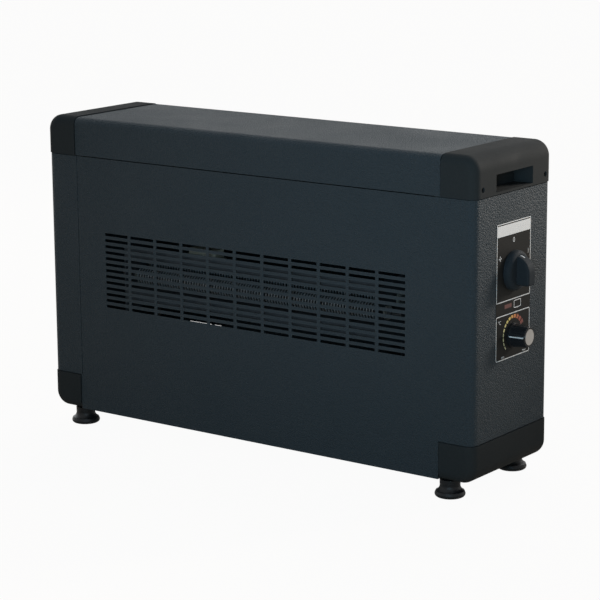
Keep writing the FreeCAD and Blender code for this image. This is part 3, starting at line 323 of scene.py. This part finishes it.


# finishes of the casing, the controls and all that is inside; sizes in metres

# the edge colour of a finish, with its width and share, is a painted highlight along its edges
finishes = {
    "casingPaint": {"grain": "hammeredCoat", "size": 0.0015, "dark": (0.030, 0.0385, 0.0445),
                    "light": (0.048, 0.0575, 0.0635), "rough": (0.52, 0.64), "bump": 1.0, "depth": 0.0008,
                    "patch": 0.14, "specular": 0.1, "edgeLight": (0.09, 0.1, 0.105), "edgeLightWidth": 0.0012,
                    "edgeLightShare": 0.5},
    "capPlastic": {"grain": "mouldGrain", "size": 0.0007, "dark": (0.0280, 0.0296, 0.0298),
                   "light": (0.0385, 0.0400, 0.0400), "rough": (0.64, 0.76), "bump": 0.18,
                   "depth": 0.0002, "patch": 0.05, "specular": 0.02, "edgeLight": (0.05, 0.05, 0.05),
                   "edgeLightWidth": 0.001, "edgeLightShare": 0.4},
    "footRubber": {"grain": "mouldGrain", "size": 0.0009, "dark": (0.006, 0.0063, 0.007),
                   "light": (0.011, 0.0115, 0.0125), "rough": (0.30, 0.50), "specular": 0.2, "bump": 0.2,
                   "depth": 0.0002, "patch": 0.02, "stain": (0.03, 0.029, 0.028), "stainShare": 0.12},
    "knobPlastic": {"grain": "mouldGrain", "size": 0.0005, "dark": (0.008, 0.0092, 0.011),
                    "light": (0.013, 0.0145, 0.0165), "rough": (0.30, 0.44), "bump": 0.1, "depth": 0.0001,
                    "patch": 0.02, "specular": 0.16, "edgeLight": (0.04, 0.042, 0.045), "edgeLightWidth": 0.0007,
                    "edgeLightShare": 0.4},
    "gripPlastic": {"grain": "mouldGrain", "size": 0.0006, "dark": (0.019, 0.023, 0.0265),
                    "light": (0.028, 0.033, 0.0375), "rough": (0.62, 0.74), "bump": 0.16,
                    "depth": 0.00015, "patch": 0.02, "specular": 0.05, "edgeLight": (0.03, 0.033, 0.037),
                    "edgeLightWidth": 0.0009, "edgeLightShare": 0.3},
    "labelFilm": {"grain": "mouldGrain", "size": 0.0004, "dark": (0.013, 0.0128, 0.0118),
                  "light": (0.018, 0.0175, 0.0163), "rough": (0.44, 0.56), "bump": 0.08, "depth": 0.0001,
                  "patch": 0.03, "specular": 0.07},
    "printWhite": {"grain": "mouldGrain", "size": 0.0006, "dark": (0.60, 0.60, 0.60),
                   "light": (0.78, 0.78, 0.77), "rough": (0.42, 0.55), "bump": 0.05, "depth": 0.00005},
    "printRed": {"grain": "mouldGrain", "size": 0.0006, "dark": (0.075, 0.019, 0.015),
                 "light": (0.12, 0.032, 0.025), "rough": (0.42, 0.55), "bump": 0.05, "depth": 0.00005},
    "zincSteel": {"grain": "rolledSheet", "size": 0.012, "dark": (0.15, 0.153, 0.156),
                  "light": (0.25, 0.253, 0.255), "rough": (0.48, 0.64), "bump": 0.06, "depth": 0.0002,
                  "patch": 0.08, "metal": 0.45, "stain": (0.10, 0.095, 0.09), "stainShare": 0.4},
    "ductSteel": {"grain": "rolledSheet", "size": 0.010, "dark": (0.034, 0.037, 0.041),
                  "light": (0.060, 0.065, 0.071), "rough": (0.55, 0.72), "bump": 0.06, "depth": 0.0002,
                  "patch": 0.05, "metal": 0.25, "specular": 0.2, "stain": (0.026, 0.026, 0.027),
                  "stainShare": 0.5},
    "fastenerSteel": {"grain": "rolledSheet", "size": 0.002, "dark": (0.36, 0.36, 0.35),
                      "light": (0.56, 0.56, 0.54), "rough": (0.28, 0.45), "bump": 0.05, "depth": 0.0001,
                      "patch": 0.01, "metal": 1.0},
    "screwBlack": {"grain": "mouldGrain", "size": 0.0005, "dark": (0.004, 0.004, 0.004),
                   "light": (0.009, 0.009, 0.009), "rough": (0.4, 0.55), "bump": 0.1, "depth": 0.0001,
                   "patch": 0.004, "specular": 0.04},
    "switchPlastic": {"grain": "mouldGrain", "size": 0.0008, "dark": (0.24, 0.23, 0.21),
                      "light": (0.32, 0.31, 0.285), "rough": (0.45, 0.6), "bump": 0.12, "depth": 0.0002},
    "ceramicBody": {"grain": "mouldGrain", "size": 0.0011, "dark": (0.33, 0.27, 0.20),
                    "light": (0.45, 0.38, 0.29), "rough": (0.6, 0.8), "bump": 0.2, "depth": 0.0002,
                    "patch": 0.02, "stain": (0.22, 0.18, 0.11), "stainShare": 0.25},
    "firedClay": {"grain": "mouldGrain", "size": 0.0009, "dark": (0.16, 0.145, 0.125),
                  "light": (0.24, 0.22, 0.19), "rough": (0.6, 0.8), "bump": 0.2, "depth": 0.0002,
                  "patch": 0.01, "stain": (0.08, 0.066, 0.05), "stainShare": 0.4},
    # the wheel's dark colour is painted shade of the casing's interior
    "wheelAluminium": {"grain": "rolledSheet", "size": 0.02, "dark": (0.10, 0.102, 0.105),
                       "light": (0.17, 0.172, 0.175), "rough": (0.5, 0.66), "bump": 0.05, "depth": 0.0001,
                       "metal": 0.4, "stain": (0.06, 0.058, 0.055), "stainShare": 0.5},
    "sinterBronze": {"grain": "mouldGrain", "size": 0.0006, "dark": (0.34, 0.22, 0.10),
                     "light": (0.52, 0.36, 0.18), "rough": (0.4, 0.6), "bump": 0.3, "depth": 0.0002,
                     "metal": 1.0},
    "coreSteel": {"grain": "stackedSheets", "size": 0.0005, "dark": (0.13, 0.13, 0.135),
                  "light": (0.24, 0.24, 0.245), "rough": (0.4, 0.6), "bump": 0.4, "depth": 0.0001,
                  "metal": 0.8, "stain": (0.16, 0.09, 0.05), "stainShare": 0.3},
    "coilCopper": {"grain": "stackedSheets", "size": 0.0006, "turn": (0.0, 0.0, math.pi / 2),
                   "dark": (0.42, 0.16, 0.06), "light": (0.62, 0.26, 0.11), "rough": (0.28, 0.42),
                   "bump": 0.8, "depth": 0.0003, "metal": 0.9},
    "sensorCopper": {"grain": "rolledSheet", "size": 0.004, "dark": (0.50, 0.22, 0.11),
                     "light": (0.68, 0.34, 0.19), "rough": (0.3, 0.5), "bump": 0.08, "depth": 0.0001,
                     "metal": 1.0, "patch": 0.02, "stain": (0.18, 0.10, 0.07), "stainShare": 0.4},
    "leadSleeve": {"grain": "mouldGrain", "size": 0.0007, "dark": (0.30, 0.04, 0.03),
                   "light": (0.46, 0.07, 0.05), "rough": (0.5, 0.7), "bump": 0.3, "depth": 0.0002},
    "heatedSteel": {"grain": "rolledSheet", "size": 0.006, "dark": (0.26, 0.255, 0.245),
                    "light": (0.42, 0.415, 0.40), "rough": (0.45, 0.62), "bump": 0.08, "depth": 0.0001,
                    "patch": 0.03, "metal": 0.3, "stain": (0.20, 0.165, 0.13), "stainShare": 0.4},
}
materials = {name: makeFinish(name, look) for name, look in finishes.items()}


def centredParts(tree, vector, middle):  # X, Y and Z counted from the middle
    centred = addNode(tree, "ShaderNodeMapping", {"Location": -middle})
    feed(tree, centred.inputs["Vector"], vector)
    parts = addNode(tree, "ShaderNodeSeparateXYZ")
    feed(tree, parts.inputs["Vector"], centred.outputs["Vector"])
    return parts.outputs


def axisRadius(tree, vector, name):  # distance from the line along X through a node's middle
    low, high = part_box(name)
    parts = centredParts(tree, vector, (low + high) / 2)
    across = calc(tree, "MULTIPLY", parts["Y"], parts["Y"])
    upward = calc(tree, "MULTIPLY", parts["Z"], parts["Z"])
    return calc(tree, "SQRT", calc(tree, "ADD", across, upward))


# finned tubes: painted shade darkens the fins near the tube, painted highlight brightens their sheared
# rims

finLook = {"tubes": ["front_heating_element", "rear_heating_element"], "paintedShadeDark": (0.03, 0.03, 0.031),
           "paintedShadeLight": (0.06, 0.06, 0.062), "rim": (0.24, 0.245, 0.25), "rimHighlightLight": (0.35, 0.355, 0.36),
           "rimStart": 10.8, "rimEnd": 11.3, "grain": 0.006, "patch": 0.03, "rough": (0.42, 0.60),
           "metal": 0.2, "bump": 0.08, "depth": 0.0001}


def finnedTube(look):
    material, tree, shader, vector = newMaterial("finnedTube")
    radius = calc(tree, "MINIMUM", *[axisRadius(tree, vector, name) for name in look["tubes"]])
    # painted shade towards the tube and painted highlight at the fin rims, split by distance from the
    # tube's axis
    edge = remap(tree, radius, look["rimStart"] * mm, look["rimEnd"] * mm)
    grain = placeGroup(tree, "rolledSheet", vector, Size=look["grain"])
    touch = placeGroup(tree, "handling", vector, Size=look["patch"]).outputs["Mask"]
    inner = mixColor(tree, grain.outputs["Tone"], rgba(look["paintedShadeDark"]), rgba(look["paintedShadeLight"]))
    outer = mixColor(tree, grain.outputs["Tone"], rgba(look["rim"]), rgba(look["rimHighlightLight"]))
    tree.links.new(mixColor(tree, edge, inner, outer), shader.inputs["Base Color"])
    setRough(tree, shader, touch, look)
    shader.inputs["Metallic"].default_value = look["metal"]
    addBump(tree, shader, grain.outputs["Height"], look)
    return material


materials["finnedTube"] = finnedTube(finLook)


# spun face of the thermostat knob's disc

discLook = {"node": "thermostat_knob_disc", "dark": (0.36, 0.36, 0.355), "light": (0.60, 0.60, 0.59),
            "ringPitch": 0.00035, "ringDetail": 3.0, "patch": 0.008, "rough": (0.26, 0.40), "metal": 1.0,
            "bump": 0.12, "depth": 0.00006}


def spunDisc(look):
    material, tree, shader, vector = newMaterial("spunDisc")
    noise = addNode(tree, "ShaderNodeTexNoise", noise_dimensions="1D",
                    values={"Scale": 1.0 / look["ringPitch"], "Detail": look["ringDetail"]})
    feed(tree, noise.inputs["W"], axisRadius(tree, vector, look["node"]))
    rings = noise.outputs["Fac"]
    touch = placeGroup(tree, "handling", vector, Size=look["patch"]).outputs["Mask"]
    color = mixColor(tree, rings, rgba(look["dark"]), rgba(look["light"]))
    tree.links.new(color, shader.inputs["Base Color"])
    setRough(tree, shader, touch, look)
    shader.inputs["Metallic"].default_value = look["metal"]
    addBump(tree, shader, rings, look)
    return material


materials["spunDisc"] = spunDisc(discLook)


# which CAD node gets which finish

nodeFinish = {
    "casingPaint": ["front_shell", "rear_shell", "top_cover"],
    "capPlastic": ["top_right_cap", "top_left_cap", "bottom_right_cap", "bottom_left_cap",
                   "cable_bushing"],
    "footRubber": ["front_left_foot_pad", "front_right_foot_pad", "rear_left_foot_pad",
                   "rear_right_foot_pad", "bush_grommet"],
    "knobPlastic": ["thermostat_knob"],
    "gripPlastic": ["selector_knob"],
    "labelFilm": ["control_label"],
    "spunDisc": ["thermostat_knob_disc"],
    "zincSteel": ["base_pan", "left_seam_strip", "right_seam_strip", "right_end_rail", "left_end_rail",
                  "motor_inner_bridge", "motor_outer_bridge"],
    "ductSteel": ["duct_upper", "duct_lower", "left_element_bracket", "right_element_bracket",
                  "scroll_sheet", "tongue_sheet", "blower_left_plate", "blower_right_plate"],
    "fastenerSteel": ["foot_nuts", "bush_nuts", "motor_screws", "fan_shaft", "selector_shaft",
                      "thermostat_shaft", "front_left_foot_stud", "front_right_foot_stud",
                      "rear_left_foot_stud", "rear_right_foot_stud"],
    "screwBlack": ["cap_screws"],
    "switchPlastic": ["selector_switch", "thermostat_body", "terminal_block", "bulb_clips"],
    "ceramicBody": ["thermal_cutout"],
    "firedClay": ["element_insulators"],
    "wheelAluminium": ["fan_wheel"],
    "sinterBronze": ["fan_bush"],
    "coreSteel": ["motor_core", "motor_rotor"],
    "coilCopper": ["motor_coil"],
    "sensorCopper": ["thermostat_sensor"],
    "leadSleeve": ["switch_lead", "motor_lead"],
    "heatedSteel": ["element_link"],
    "finnedTube": finLook["tubes"],
}
for finishName, names in nodeFinish.items():
    for name in names:
        nodes[name].data.materials.clear()
        nodes[name].data.materials.append(materials[finishName])
print("materials:", len(materials))


# each added piece ends here: merged, facing outwards, on its body and with its finish

mergeDistance = 1e-7


def keepPiece(bm, name, finishName, body):
    bmesh.ops.remove_doubles(bm, verts=bm.verts, dist=mergeDistance)
    bmesh.ops.recalc_face_normals(bm, faces=bm.faces)
    mesh = bpy.data.meshes.new(name)
    bm.to_mesh(mesh)
    bm.free()
    mesh.materials.append(materials[finishName])
    piece = bpy.data.objects.new(name, mesh)
    scene.collection.objects.link(piece)
    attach(piece, body)
    return piece


def facesSince(bm, before):
    return [face for face in bm.faces if face not in before]


def vertsOf(parts):
    return [part for part in parts if isinstance(part, bmesh.types.BMVert)]


# printing on the control label, seen from the right end: Y to the right, Z up, all in millimetres

labelPrint = {"face": 303.3, "ink": 0.04, "cornerSteps": 5, "letterSteps": 4,
              "frames": [((-34.2, 36.2, 213.7, 300.5), 0.6, 1.0),  # box in Y and Z, corner, line
                         ((-34.2, 36.2, 148.9, 199.0), 2.4, 1.0),
                         ((2.6, 17.2, 203.2, 212.0), 1.6, 0.8)],
              "strip": ((-32.9, 34.9, 286.2, 298.3), 0.3),  # box, corner
              "bar": ((-16.8, -2.2, 205.6, 210.0), 0.6),
              "words": [("0", 8.0, 1.0, 279.5), ("1", 7.5, 31.4, 262.4), ("min", 4.2, -19.5, 152.2),
                        ("max", 4.2, 25.0, 152.4), ("°C", 5.6, -27.0, 191.5)]}  # word, size, Y, Z
fanMark = {"middle": (-27.0, 262.5), "blades": 4, "reach": 1.8, "half": 0.5, "fill": 0.9, "twist": 0.5,
           "sides": 14}


def flatSheet(bm, box, corner):
    before = set(bm.faces)
    left, right, bottom, top = box
    corners = [bm.verts.new(spot(labelPrint["face"], y, z))
               for y, z in ((left, bottom), (right, bottom), (right, top), (left, top))]
    bm.faces.new(corners)
    bmesh.ops.bevel(bm, geom=corners, offset=corner * mm, offset_type="OFFSET", affect="VERTICES",
                    segments=labelPrint["cornerSteps"], profile=0.5, material=-1)
    return facesSince(bm, before)


def raiseInk(bm, faces):
    grown = bmesh.ops.extrude_face_region(bm, geom=faces, use_keep_orig=True)
    bmesh.ops.translate(bm, verts=vertsOf(grown["geom"]), vec=(labelPrint["ink"] * mm, 0, 0))


def printFrame(bm, box, corner, line):
    sheet = flatSheet(bm, box, corner)
    ring = bmesh.ops.inset_region(bm, faces=sheet, thickness=line * mm, use_boundary=True,
                                  use_even_offset=True)["faces"]
    bmesh.ops.delete(bm, geom=sheet, context="FACES")
    raiseInk(bm, ring)


def printWord(bm, words, size, y, z):
    curve = bpy.data.curves.new("word", "FONT")
    curve.body = words
    curve.size = size * mm
    curve.extrude = labelPrint["ink"] * mm / 2
    curve.align_x = "CENTER"
    curve.align_y = "CENTER"
    curve.resolution_u = labelPrint["letterSteps"]
    holder = bpy.data.objects.new("word", curve)
    scene.collection.objects.link(holder)
    made = bpy.data.meshes.new_from_object(holder.evaluated_get(bpy.context.evaluated_depsgraph_get()))
    upright = Matrix(((0, 0, 1), (1, 0, 0), (0, 1, 0))).to_4x4()  # reads along Y, stands along Z
    made.transform(Matrix.Translation(spot(labelPrint["face"] + labelPrint["ink"] / 2, y, z)) @ upright)
    bm.from_mesh(made)
    bpy.data.objects.remove(holder)
    bpy.data.curves.remove(curve)
    bpy.data.meshes.remove(made)


def printFan(bm, look):  # leaf-shaped blades round a middle
    middle = Matrix.Translation(spot(labelPrint["face"], *look["middle"]))
    leaf = (Matrix.Translation((0, 0, look["reach"] * mm)) @ Matrix.Rotation(look["twist"], 4, "X")
            @ Matrix.Diagonal((1, look["half"] / look["reach"], 1, 1))
            @ Matrix.Rotation(math.pi / 2, 4, "Y"))
    for blade in range(look["blades"]):
        before = set(bm.faces)
        turn = Matrix.Rotation(2 * math.pi * blade / look["blades"], 4, "X")
        bmesh.ops.create_circle(bm, cap_ends=True, segments=look["sides"],
                                radius=look["reach"] * look["fill"] * mm, matrix=middle @ turn @ leaf)
        raiseInk(bm, facesSince(bm, before))


def printLabel(look):
    white = bmesh.new()
    for frameBox, corner, line in look["frames"]:
        printFrame(white, frameBox, corner, line)
    raiseInk(white, flatSheet(white, *look["strip"]))
    for words in look["words"]:
        printWord(white, *words)
    printFan(white, fanMark)
    keepPiece(white, "label_white_print", "printWhite", "casing")
    red = bmesh.new()
    raiseInk(red, flatSheet(red, *look["bar"]))
    keepPiece(red, "label_red_print", "printRed", "casing")


printLabel(labelPrint)


# coloured blocks round the thermostat knob

dialScale = {"middle": (1.0, 173.7), "inner": 18.8, "thin": 1.7, "thick": 6.4, "swell": 2.2,
             "start": -136.0, "stop": 66.0, "blocks": 13, "gap": 4.2, "steps": 4}
dialLook = {"colors": [(0.0, (0.60, 0.58, 0.36)), (0.3, (0.78, 0.72, 0.38)), (0.55, (0.82, 0.62, 0.16)),
                       (0.7, (0.74, 0.26, 0.06)), (0.85, (0.34, 0.05, 0.025)), (1.0, (0.12, 0.02, 0.013))],
            "fade": (0.10, 0.09, 0.08), "fadeShare": 0.25, "grain": 0.0006, "rough": (0.42, 0.56),
            "bump": 0.05, "depth": 0.00005}


def dialInk(scale, look):  # colour runs with the angle round the dial
    material, tree, shader, vector = newMaterial("dialInk")
    parts = centredParts(tree, vector, spot(labelPrint["face"], *scale["middle"]))
    angle = calc(tree, "ARCTAN2", parts["Y"], parts["Z"])
    ramp = addNode(tree, "ShaderNodeValToRGB")
    feed(tree, ramp.inputs["Fac"],
         remap(tree, angle, math.radians(scale["start"]), math.radians(scale["stop"])))
    stops = ramp.color_ramp.elements
    while len(stops) < len(look["colors"]):
        stops.new(0.5)
    for stop, (position, color) in zip(stops, look["colors"]):
        stop.position = position
        stop.color = rgba(color)
    grain = placeGroup(tree, "mouldGrain", vector, Size=look["grain"])
    faded = tint(tree, ramp.outputs["Color"], grain.outputs["Tone"], look["fadeShare"], look["fade"])
    tree.links.new(faded, shader.inputs["Base Color"])
    setRough(tree, shader, grain.outputs["Tone"], look)
    addBump(tree, shader, grain.outputs["Height"], look)
    return material


materials["dialInk"] = dialInk(dialScale, dialLook)


def printDial(look):
    bm = bmesh.new()
    middle = spot(labelPrint["face"], *look["middle"])
    axis = Vector((-1, 0, 0))
    pitch = (look["stop"] - look["start"]) / look["blocks"]
    for block in range(look["blocks"]):
        share = (block + 0.5) / look["blocks"]
        outer = look["inner"] + look["thin"] + (look["thick"] - look["thin"]) * share ** look["swell"]
        turn = Matrix.Rotation(math.radians(look["start"] + pitch * block + look["gap"] / 2), 3, axis)
        ends = [bm.verts.new(middle + turn @ Vector((0, 0, radius * mm)))
                for radius in (look["inner"], outer)]
        edge = bm.edges.new(ends)
        before = set(bm.faces)
        bmesh.ops.spin(bm, geom=ends + [edge], cent=middle, axis=axis, steps=look["steps"],
                       angle=math.radians(pitch - look["gap"]), use_merge=False)
        raiseInk(bm, facesSince(bm, before))
    keepPiece(bm, "dial_print", "dialInk", "casing")


printDial(dialScale)
print("label printed")


# pointer marks on both knobs

selectorMark = {"ridge": ((309.13, 263.3), (321.7, 257.6), (326.8, 244.885)), "middle": 1.0, "half": 0.9,
                "from": 0.08, "to": 0.30, "proud": 0.06, "deep": 0.5, "steps": 12}


def arcCentre(first, second, third):  # of the circle through three flat points
    a, b = second - first, third - first
    cross = 2 * (a.x * b.y - a.y * b.x)
    return first + Vector((b.y * a.length_squared - a.y * b.length_squared,
                           a.x * b.length_squared - b.x * a.length_squared)) / cross


def ridgeStripe(look):  # follows the arc of the ridge, which is given by three of its points (X, Z)
    first, second, third = (Vector(point) for point in look["ridge"])
    centre = arcCentre(first, second, third)
    sweep = (first - centre).angle(third - centre)  # from up towards +X, a positive turn about Y
    axis = Vector((0, 1, 0))
    middle = spot(centre.x, look["middle"], centre.y)
    arm = spot(first.x, look["middle"], first.y) - middle
    start = Matrix.Rotation(sweep * look["from"], 3, axis) @ arm
    start = start.normalized() * (start.length + look["proud"] * mm)
    bm = bmesh.new()
    ends = [bm.verts.new(middle + start + axis * side * look["half"] * mm) for side in (-1, 1)]
    edge = bm.edges.new(ends)
    bmesh.ops.spin(bm, geom=ends + [edge], cent=middle, axis=axis, steps=look["steps"], use_merge=False,
                   angle=sweep * (look["to"] - look["from"]))
    bmesh.ops.recalc_face_normals(bm, faces=bm.faces)
    bmesh.ops.solidify(bm, geom=bm.faces[:], thickness=look["deep"] * mm)
    keepPiece(bm, "selector_pointer", "printWhite", "selector")


ridgeStripe(selectorMark)

thermostatMark = {"middle": (1.0, 173.7), "ends": ((306.5, 13.3), (323.4, 11.45)), "turn": -87.0,
                  "half": 0.7, "deep": 0.9, "soft": 0.12, "softSteps": 2}


def sideLine(look):  # runs up the knob's taper; each end is (X, radius)
    bm = bmesh.new()
    turn = Matrix.Rotation(math.radians(look["turn"]), 3, (-1, 0, 0))
    corners = []
    for (x, radius), sides in zip(look["ends"], ((-1, 1), (1, -1))):
        for side in sides:
            corners.append(bm.verts.new(spot(x, *look["middle"])
                                        + turn @ Vector((0, side * look["half"] * mm, radius * mm))))
    bm.faces.new(corners)
    grown = bmesh.ops.extrude_face_region(bm, geom=bm.faces[:], use_keep_orig=True)
    bmesh.ops.translate(bm, verts=vertsOf(grown["geom"]), vec=turn @ Vector((0, 0, -look["deep"] * mm)))
    bmesh.ops.recalc_face_normals(bm, faces=bm.faces)
    bmesh.ops.bevel(bm, geom=bm.edges[:], offset=look["soft"] * mm, affect="EDGES",
                    segments=look["softSteps"], profile=0.5, material=-1)
    keepPiece(bm, "thermostat_pointer", "printWhite", "thermostat")


sideLine(thermostatMark)
print("pointers placed")


# threaded studs of the levelling feet

studThread = {"pitch": 1.25, "crest": 3.96, "root": 3.28, "crestEnd": 0.13, "rootStart": 0.5,
              "rootEnd": 0.74, "steps": 24, "spareTurns": 2, "weld": 1e-6,
              "places": ["front_left", "front_right", "rear_left", "rear_right"]}


def threadedStud(look, place):  # a helix that is longer than the stud, cut off flat at both ends
    low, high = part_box(place + "_foot_stud")
    axisX, axisY = (low.x + high.x) / 2, (low.y + high.y) / 2
    pitch = look["pitch"] * mm
    start = low.z - look["spareTurns"] * pitch
    turns = math.ceil((high.z - low.z) / pitch) + 2 * look["spareTurns"]
    profile = [(look["crest"], 0.0), (look["crest"], look["crestEnd"]), (look["root"], look["rootStart"]),
               (look["root"], look["rootEnd"]), (look["crest"], 1.0)]  # radius, share of the pitch
    bm = bmesh.new()
    points = [bm.verts.new((axisX + radius * mm, axisY, start + share * pitch))
              for radius, share in profile]
    edges = [bm.edges.new(pair) for pair in zip(points, points[1:])]
    bmesh.ops.spin(bm, geom=points + edges, cent=(axisX, axisY, 0), axis=(0, 0, 1), use_merge=False,
                   dvec=(0, 0, pitch / look["steps"]), angle=2 * math.pi * turns,
                   steps=look["steps"] * turns)
    bmesh.ops.remove_doubles(bm, verts=bm.verts, dist=look["weld"])
    for level, side in ((low.z, -1), (high.z, 1)):
        bmesh.ops.bisect_plane(bm, geom=bm.verts[:] + bm.edges[:] + bm.faces[:],
                               plane_co=(axisX, axisY, level), plane_no=(0, 0, side), clear_outer=True)
        rim = [edge for edge in bm.edges if edge.is_boundary
               and all(abs(point.co.z - level) < look["weld"] for point in edge.verts)]
        bmesh.ops.edgeloop_fill(bm, edges=rim)
    piece = keepPiece(bm, place + "_threaded_stud", "fastenerSteel", place + "_stud")
    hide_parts(place + "_foot_stud")


for place in studThread["places"]:
    threadedStud(studThread, place)
print("studs threaded")


# screws of the top caps, with a cross recess; depths count from the end of the cap

capScrew = {"radius": 2.75, "shank": 1.75, "sunk": 1.1, "head": 2.0, "length": 17.0, "armLong": 1.5,
            "armHalf": 0.42, "deep": 1.0, "rim": 0.45, "sides": 24}


def extrudeLoop(bm, loop):  # gives the new points and the new loop
    grown = bmesh.ops.extrude_edge_only(bm, edges=loop)["geom"]
    points = vertsOf(grown)
    return points, [part for part in grown if isinstance(part, bmesh.types.BMEdge)
                    and all(point in points for point in part.verts)]


def crossScrew(look):  # one screw, its head's face at the origin and its shank down along Z
    bm = bmesh.new()
    a, b = look["armLong"] * mm, look["armHalf"] * mm
    outline = [(a, -b), (a, b), (b, b), (b, a), (-b, a), (-b, b), (-a, b), (-a, -b), (-b, -b), (-b, -a),
               (b, -a), (b, -b)]
    cross = [bm.verts.new((u, v, 0)) for u, v in outline]
    slotEdges = [bm.edges.new(pair) for pair in zip(cross, cross[1:] + cross[:1])]
    ring = bmesh.ops.create_circle(bm, segments=look["sides"],
                                   radius=(look["radius"] - look["rim"]) * mm)["verts"]
    rimEdges = [edge for edge in bm.edges if all(point in ring for point in edge.verts)]
    bmesh.ops.bridge_loops(bm, edges=slotEdges + rimEdges)
    floorPoints, floorEdges = extrudeLoop(bm, slotEdges)
    bmesh.ops.translate(bm, verts=floorPoints, vec=(0, 0, -look["deep"] * mm))
    bmesh.ops.edgeloop_fill(bm, edges=floorEdges)
    seat, tip = look["head"] - look["sunk"], look["length"] - look["sunk"]
    loop = rimEdges
    for radius, depth in ((look["radius"], look["rim"]), (look["radius"], seat), (look["shank"], seat),
                          (look["shank"], tip)):
        points, loop = extrudeLoop(bm, loop)
        for point in points:
            flat = point.co.xy.normalized() * radius * mm
            point.co = (flat.x, flat.y, -depth * mm)
    bmesh.ops.edgeloop_fill(bm, edges=loop)
    mesh = bpy.data.meshes.new("screw")
    bm.to_mesh(mesh)
    bm.free()
    return mesh


def placeScrews(look):
    low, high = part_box("cap_screws")
    screw = crossScrew(look)
    bm = bmesh.new()
    for side, face in ((-1, low.x), (1, high.x)):
        for y in (low.y + look["radius"] * mm, high.y - look["radius"] * mm):
            head = Vector((face - side * look["sunk"] * mm, y, (low.z + high.z) / 2))
            turned = screw.copy()
            turned.transform(Matrix.Translation(head) @ Matrix.Rotation(side * math.pi / 2, 4, "Y"))
            bm.from_mesh(turned)
            bpy.data.meshes.remove(turned)
    bpy.data.meshes.remove(screw)
    piece = keepPiece(bm, "cap_cross_screws", "screwBlack", "casing")
    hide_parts("cap_screws")


placeScrews(capScrew)
print("screws placed")


# floor, light and background; places in millimetres, angles in degrees

stageSetup = {"floorSize": 40.0, "floorColor": (0.80, 0.62, 0.46), "worldFill": 0.18,
              "fillColor": (0.79, 1.04, 1.24), "white": (1.0, 1.0, 1.0), "showShare": 0.955,
              "mirrorShare": 0.25}
sunSetup = {"strength": 1.10, "softness": 36.0, "tilt": (-38.0, -12.0, 0.0)}
lampSetup = {
    "endSpot": {"kind": "SPOT", "place": (760.0, 980.0, 680.0), "aim": (303.0, 55.0, 375.0), "power": 74.0,
                "color": (1.0, 0.91, 0.83), "size": 0.15, "cone": 28.0, "blend": 1.0},
    "frontSoftbox": {"kind": "AREA", "place": (780.0, -1260.0, 440.0), "aim": (150.0, -79.0, 400.0),
                     "power": 0.88, "color": (0.56, 0.94, 1.22), "size": 0.5, "spread": 60.0},
    "leftSoftbox": {"kind": "AREA", "place": (-1900.0, 250.0, 650.0), "aim": (-303.0, 0.0, 220.0),
                    "power": 7.0, "color": (0.94, 1.0, 1.04), "size": 1.0, "spread": 180.0},
}


def seenDirectly(tree, camera, mirror):  # shares for camera rays and for glossy or transmission rays
    path = addNode(tree, "ShaderNodeLightPath")
    bounced = calc(tree, "MAXIMUM", path.outputs["Is Glossy Ray"], path.outputs["Is Transmission Ray"])
    return calc(tree, "MAXIMUM", calc(tree, "MULTIPLY", path.outputs["Is Camera Ray"], camera),
                calc(tree, "MULTIPLY", bounced, mirror))


def buildFloor(setup):
    bm = bmesh.new()
    bmesh.ops.create_grid(bm, x_segments=1, y_segments=1, size=setup["floorSize"] / 2)
    mesh = bpy.data.meshes.new("studioFloor")
    bm.to_mesh(mesh)
    bm.free()
    floor = bpy.data.objects.new("studioFloor", mesh)
    scene.collection.objects.link(floor)
    material = bpy.data.materials.new("studioFloor")
    tree = emptyTree(material)
    matte = addNode(tree, "ShaderNodeBsdfDiffuse", {"Color": rgba(setup["floorColor"])})
    glow = addNode(tree, "ShaderNodeEmission", {"Color": rgba(setup["white"]), "Strength": 1.0})
    mix = addNode(tree, "ShaderNodeMixShader")
    feed(tree, mix.inputs[0], seenDirectly(tree, setup["showShare"], setup["mirrorShare"]))
    tree.links.new(matte.outputs[0], mix.inputs[1])
    tree.links.new(glow.outputs[0], mix.inputs[2])
    output = addNode(tree, "ShaderNodeOutputMaterial")
    tree.links.new(mix.outputs[0], output.inputs["Surface"])
    mesh.materials.append(material)


def buildAir(setup):
    world = bpy.data.worlds.new("studioAir")
    scene.world = world
    tree = emptyTree(world)
    air = addNode(tree, "ShaderNodeBackground")
    seen = seenDirectly(tree, 1.0, 1.0)
    feed(tree, air.inputs["Color"], mixColor(tree, seen, rgba(setup["fillColor"]), rgba(setup["white"])))
    feed(tree, air.inputs["Strength"], remap(tree, seen, 0.0, 1.0, setup["worldFill"], 1.0))
    output = addNode(tree, "ShaderNodeOutputWorld")
    tree.links.new(air.outputs[0], output.inputs["Surface"])


def addSun(setup):
    sun = bpy.data.lights.new("overheadSoft", "SUN")
    sun.energy = setup["strength"]
    sun.angle = math.radians(setup["softness"])
    holder = bpy.data.objects.new("overheadSoft", sun)
    holder.rotation_euler = [math.radians(angle) for angle in setup["tilt"]]
    scene.collection.objects.link(holder)


def addLamp(name, setup):
    lamp = bpy.data.lights.new(name, setup["kind"])
    lamp.energy = setup["power"]
    lamp.color = setup["color"]
    if setup["kind"] == "AREA":
        lamp.size = setup["size"]
        lamp.spread = math.radians(setup["spread"])
    else:
        lamp.shadow_soft_size = setup["size"]
        lamp.spot_size = math.radians(setup["cone"])
        lamp.spot_blend = setup["blend"]
    holder = bpy.data.objects.new(name, lamp)
    holder.location = spot(*setup["place"])
    aim = spot(*setup["aim"]) - holder.location
    holder.rotation_euler = aim.to_track_quat("-Z", "Y").to_euler()
    scene.collection.objects.link(holder)


buildFloor(stageSetup)
buildAir(stageSetup)
addSun(sunSetup)
for lampName, setup in lampSetup.items():
    addLamp(lampName, setup)
scene.view_settings.view_transform = "Standard"
print("stage built")
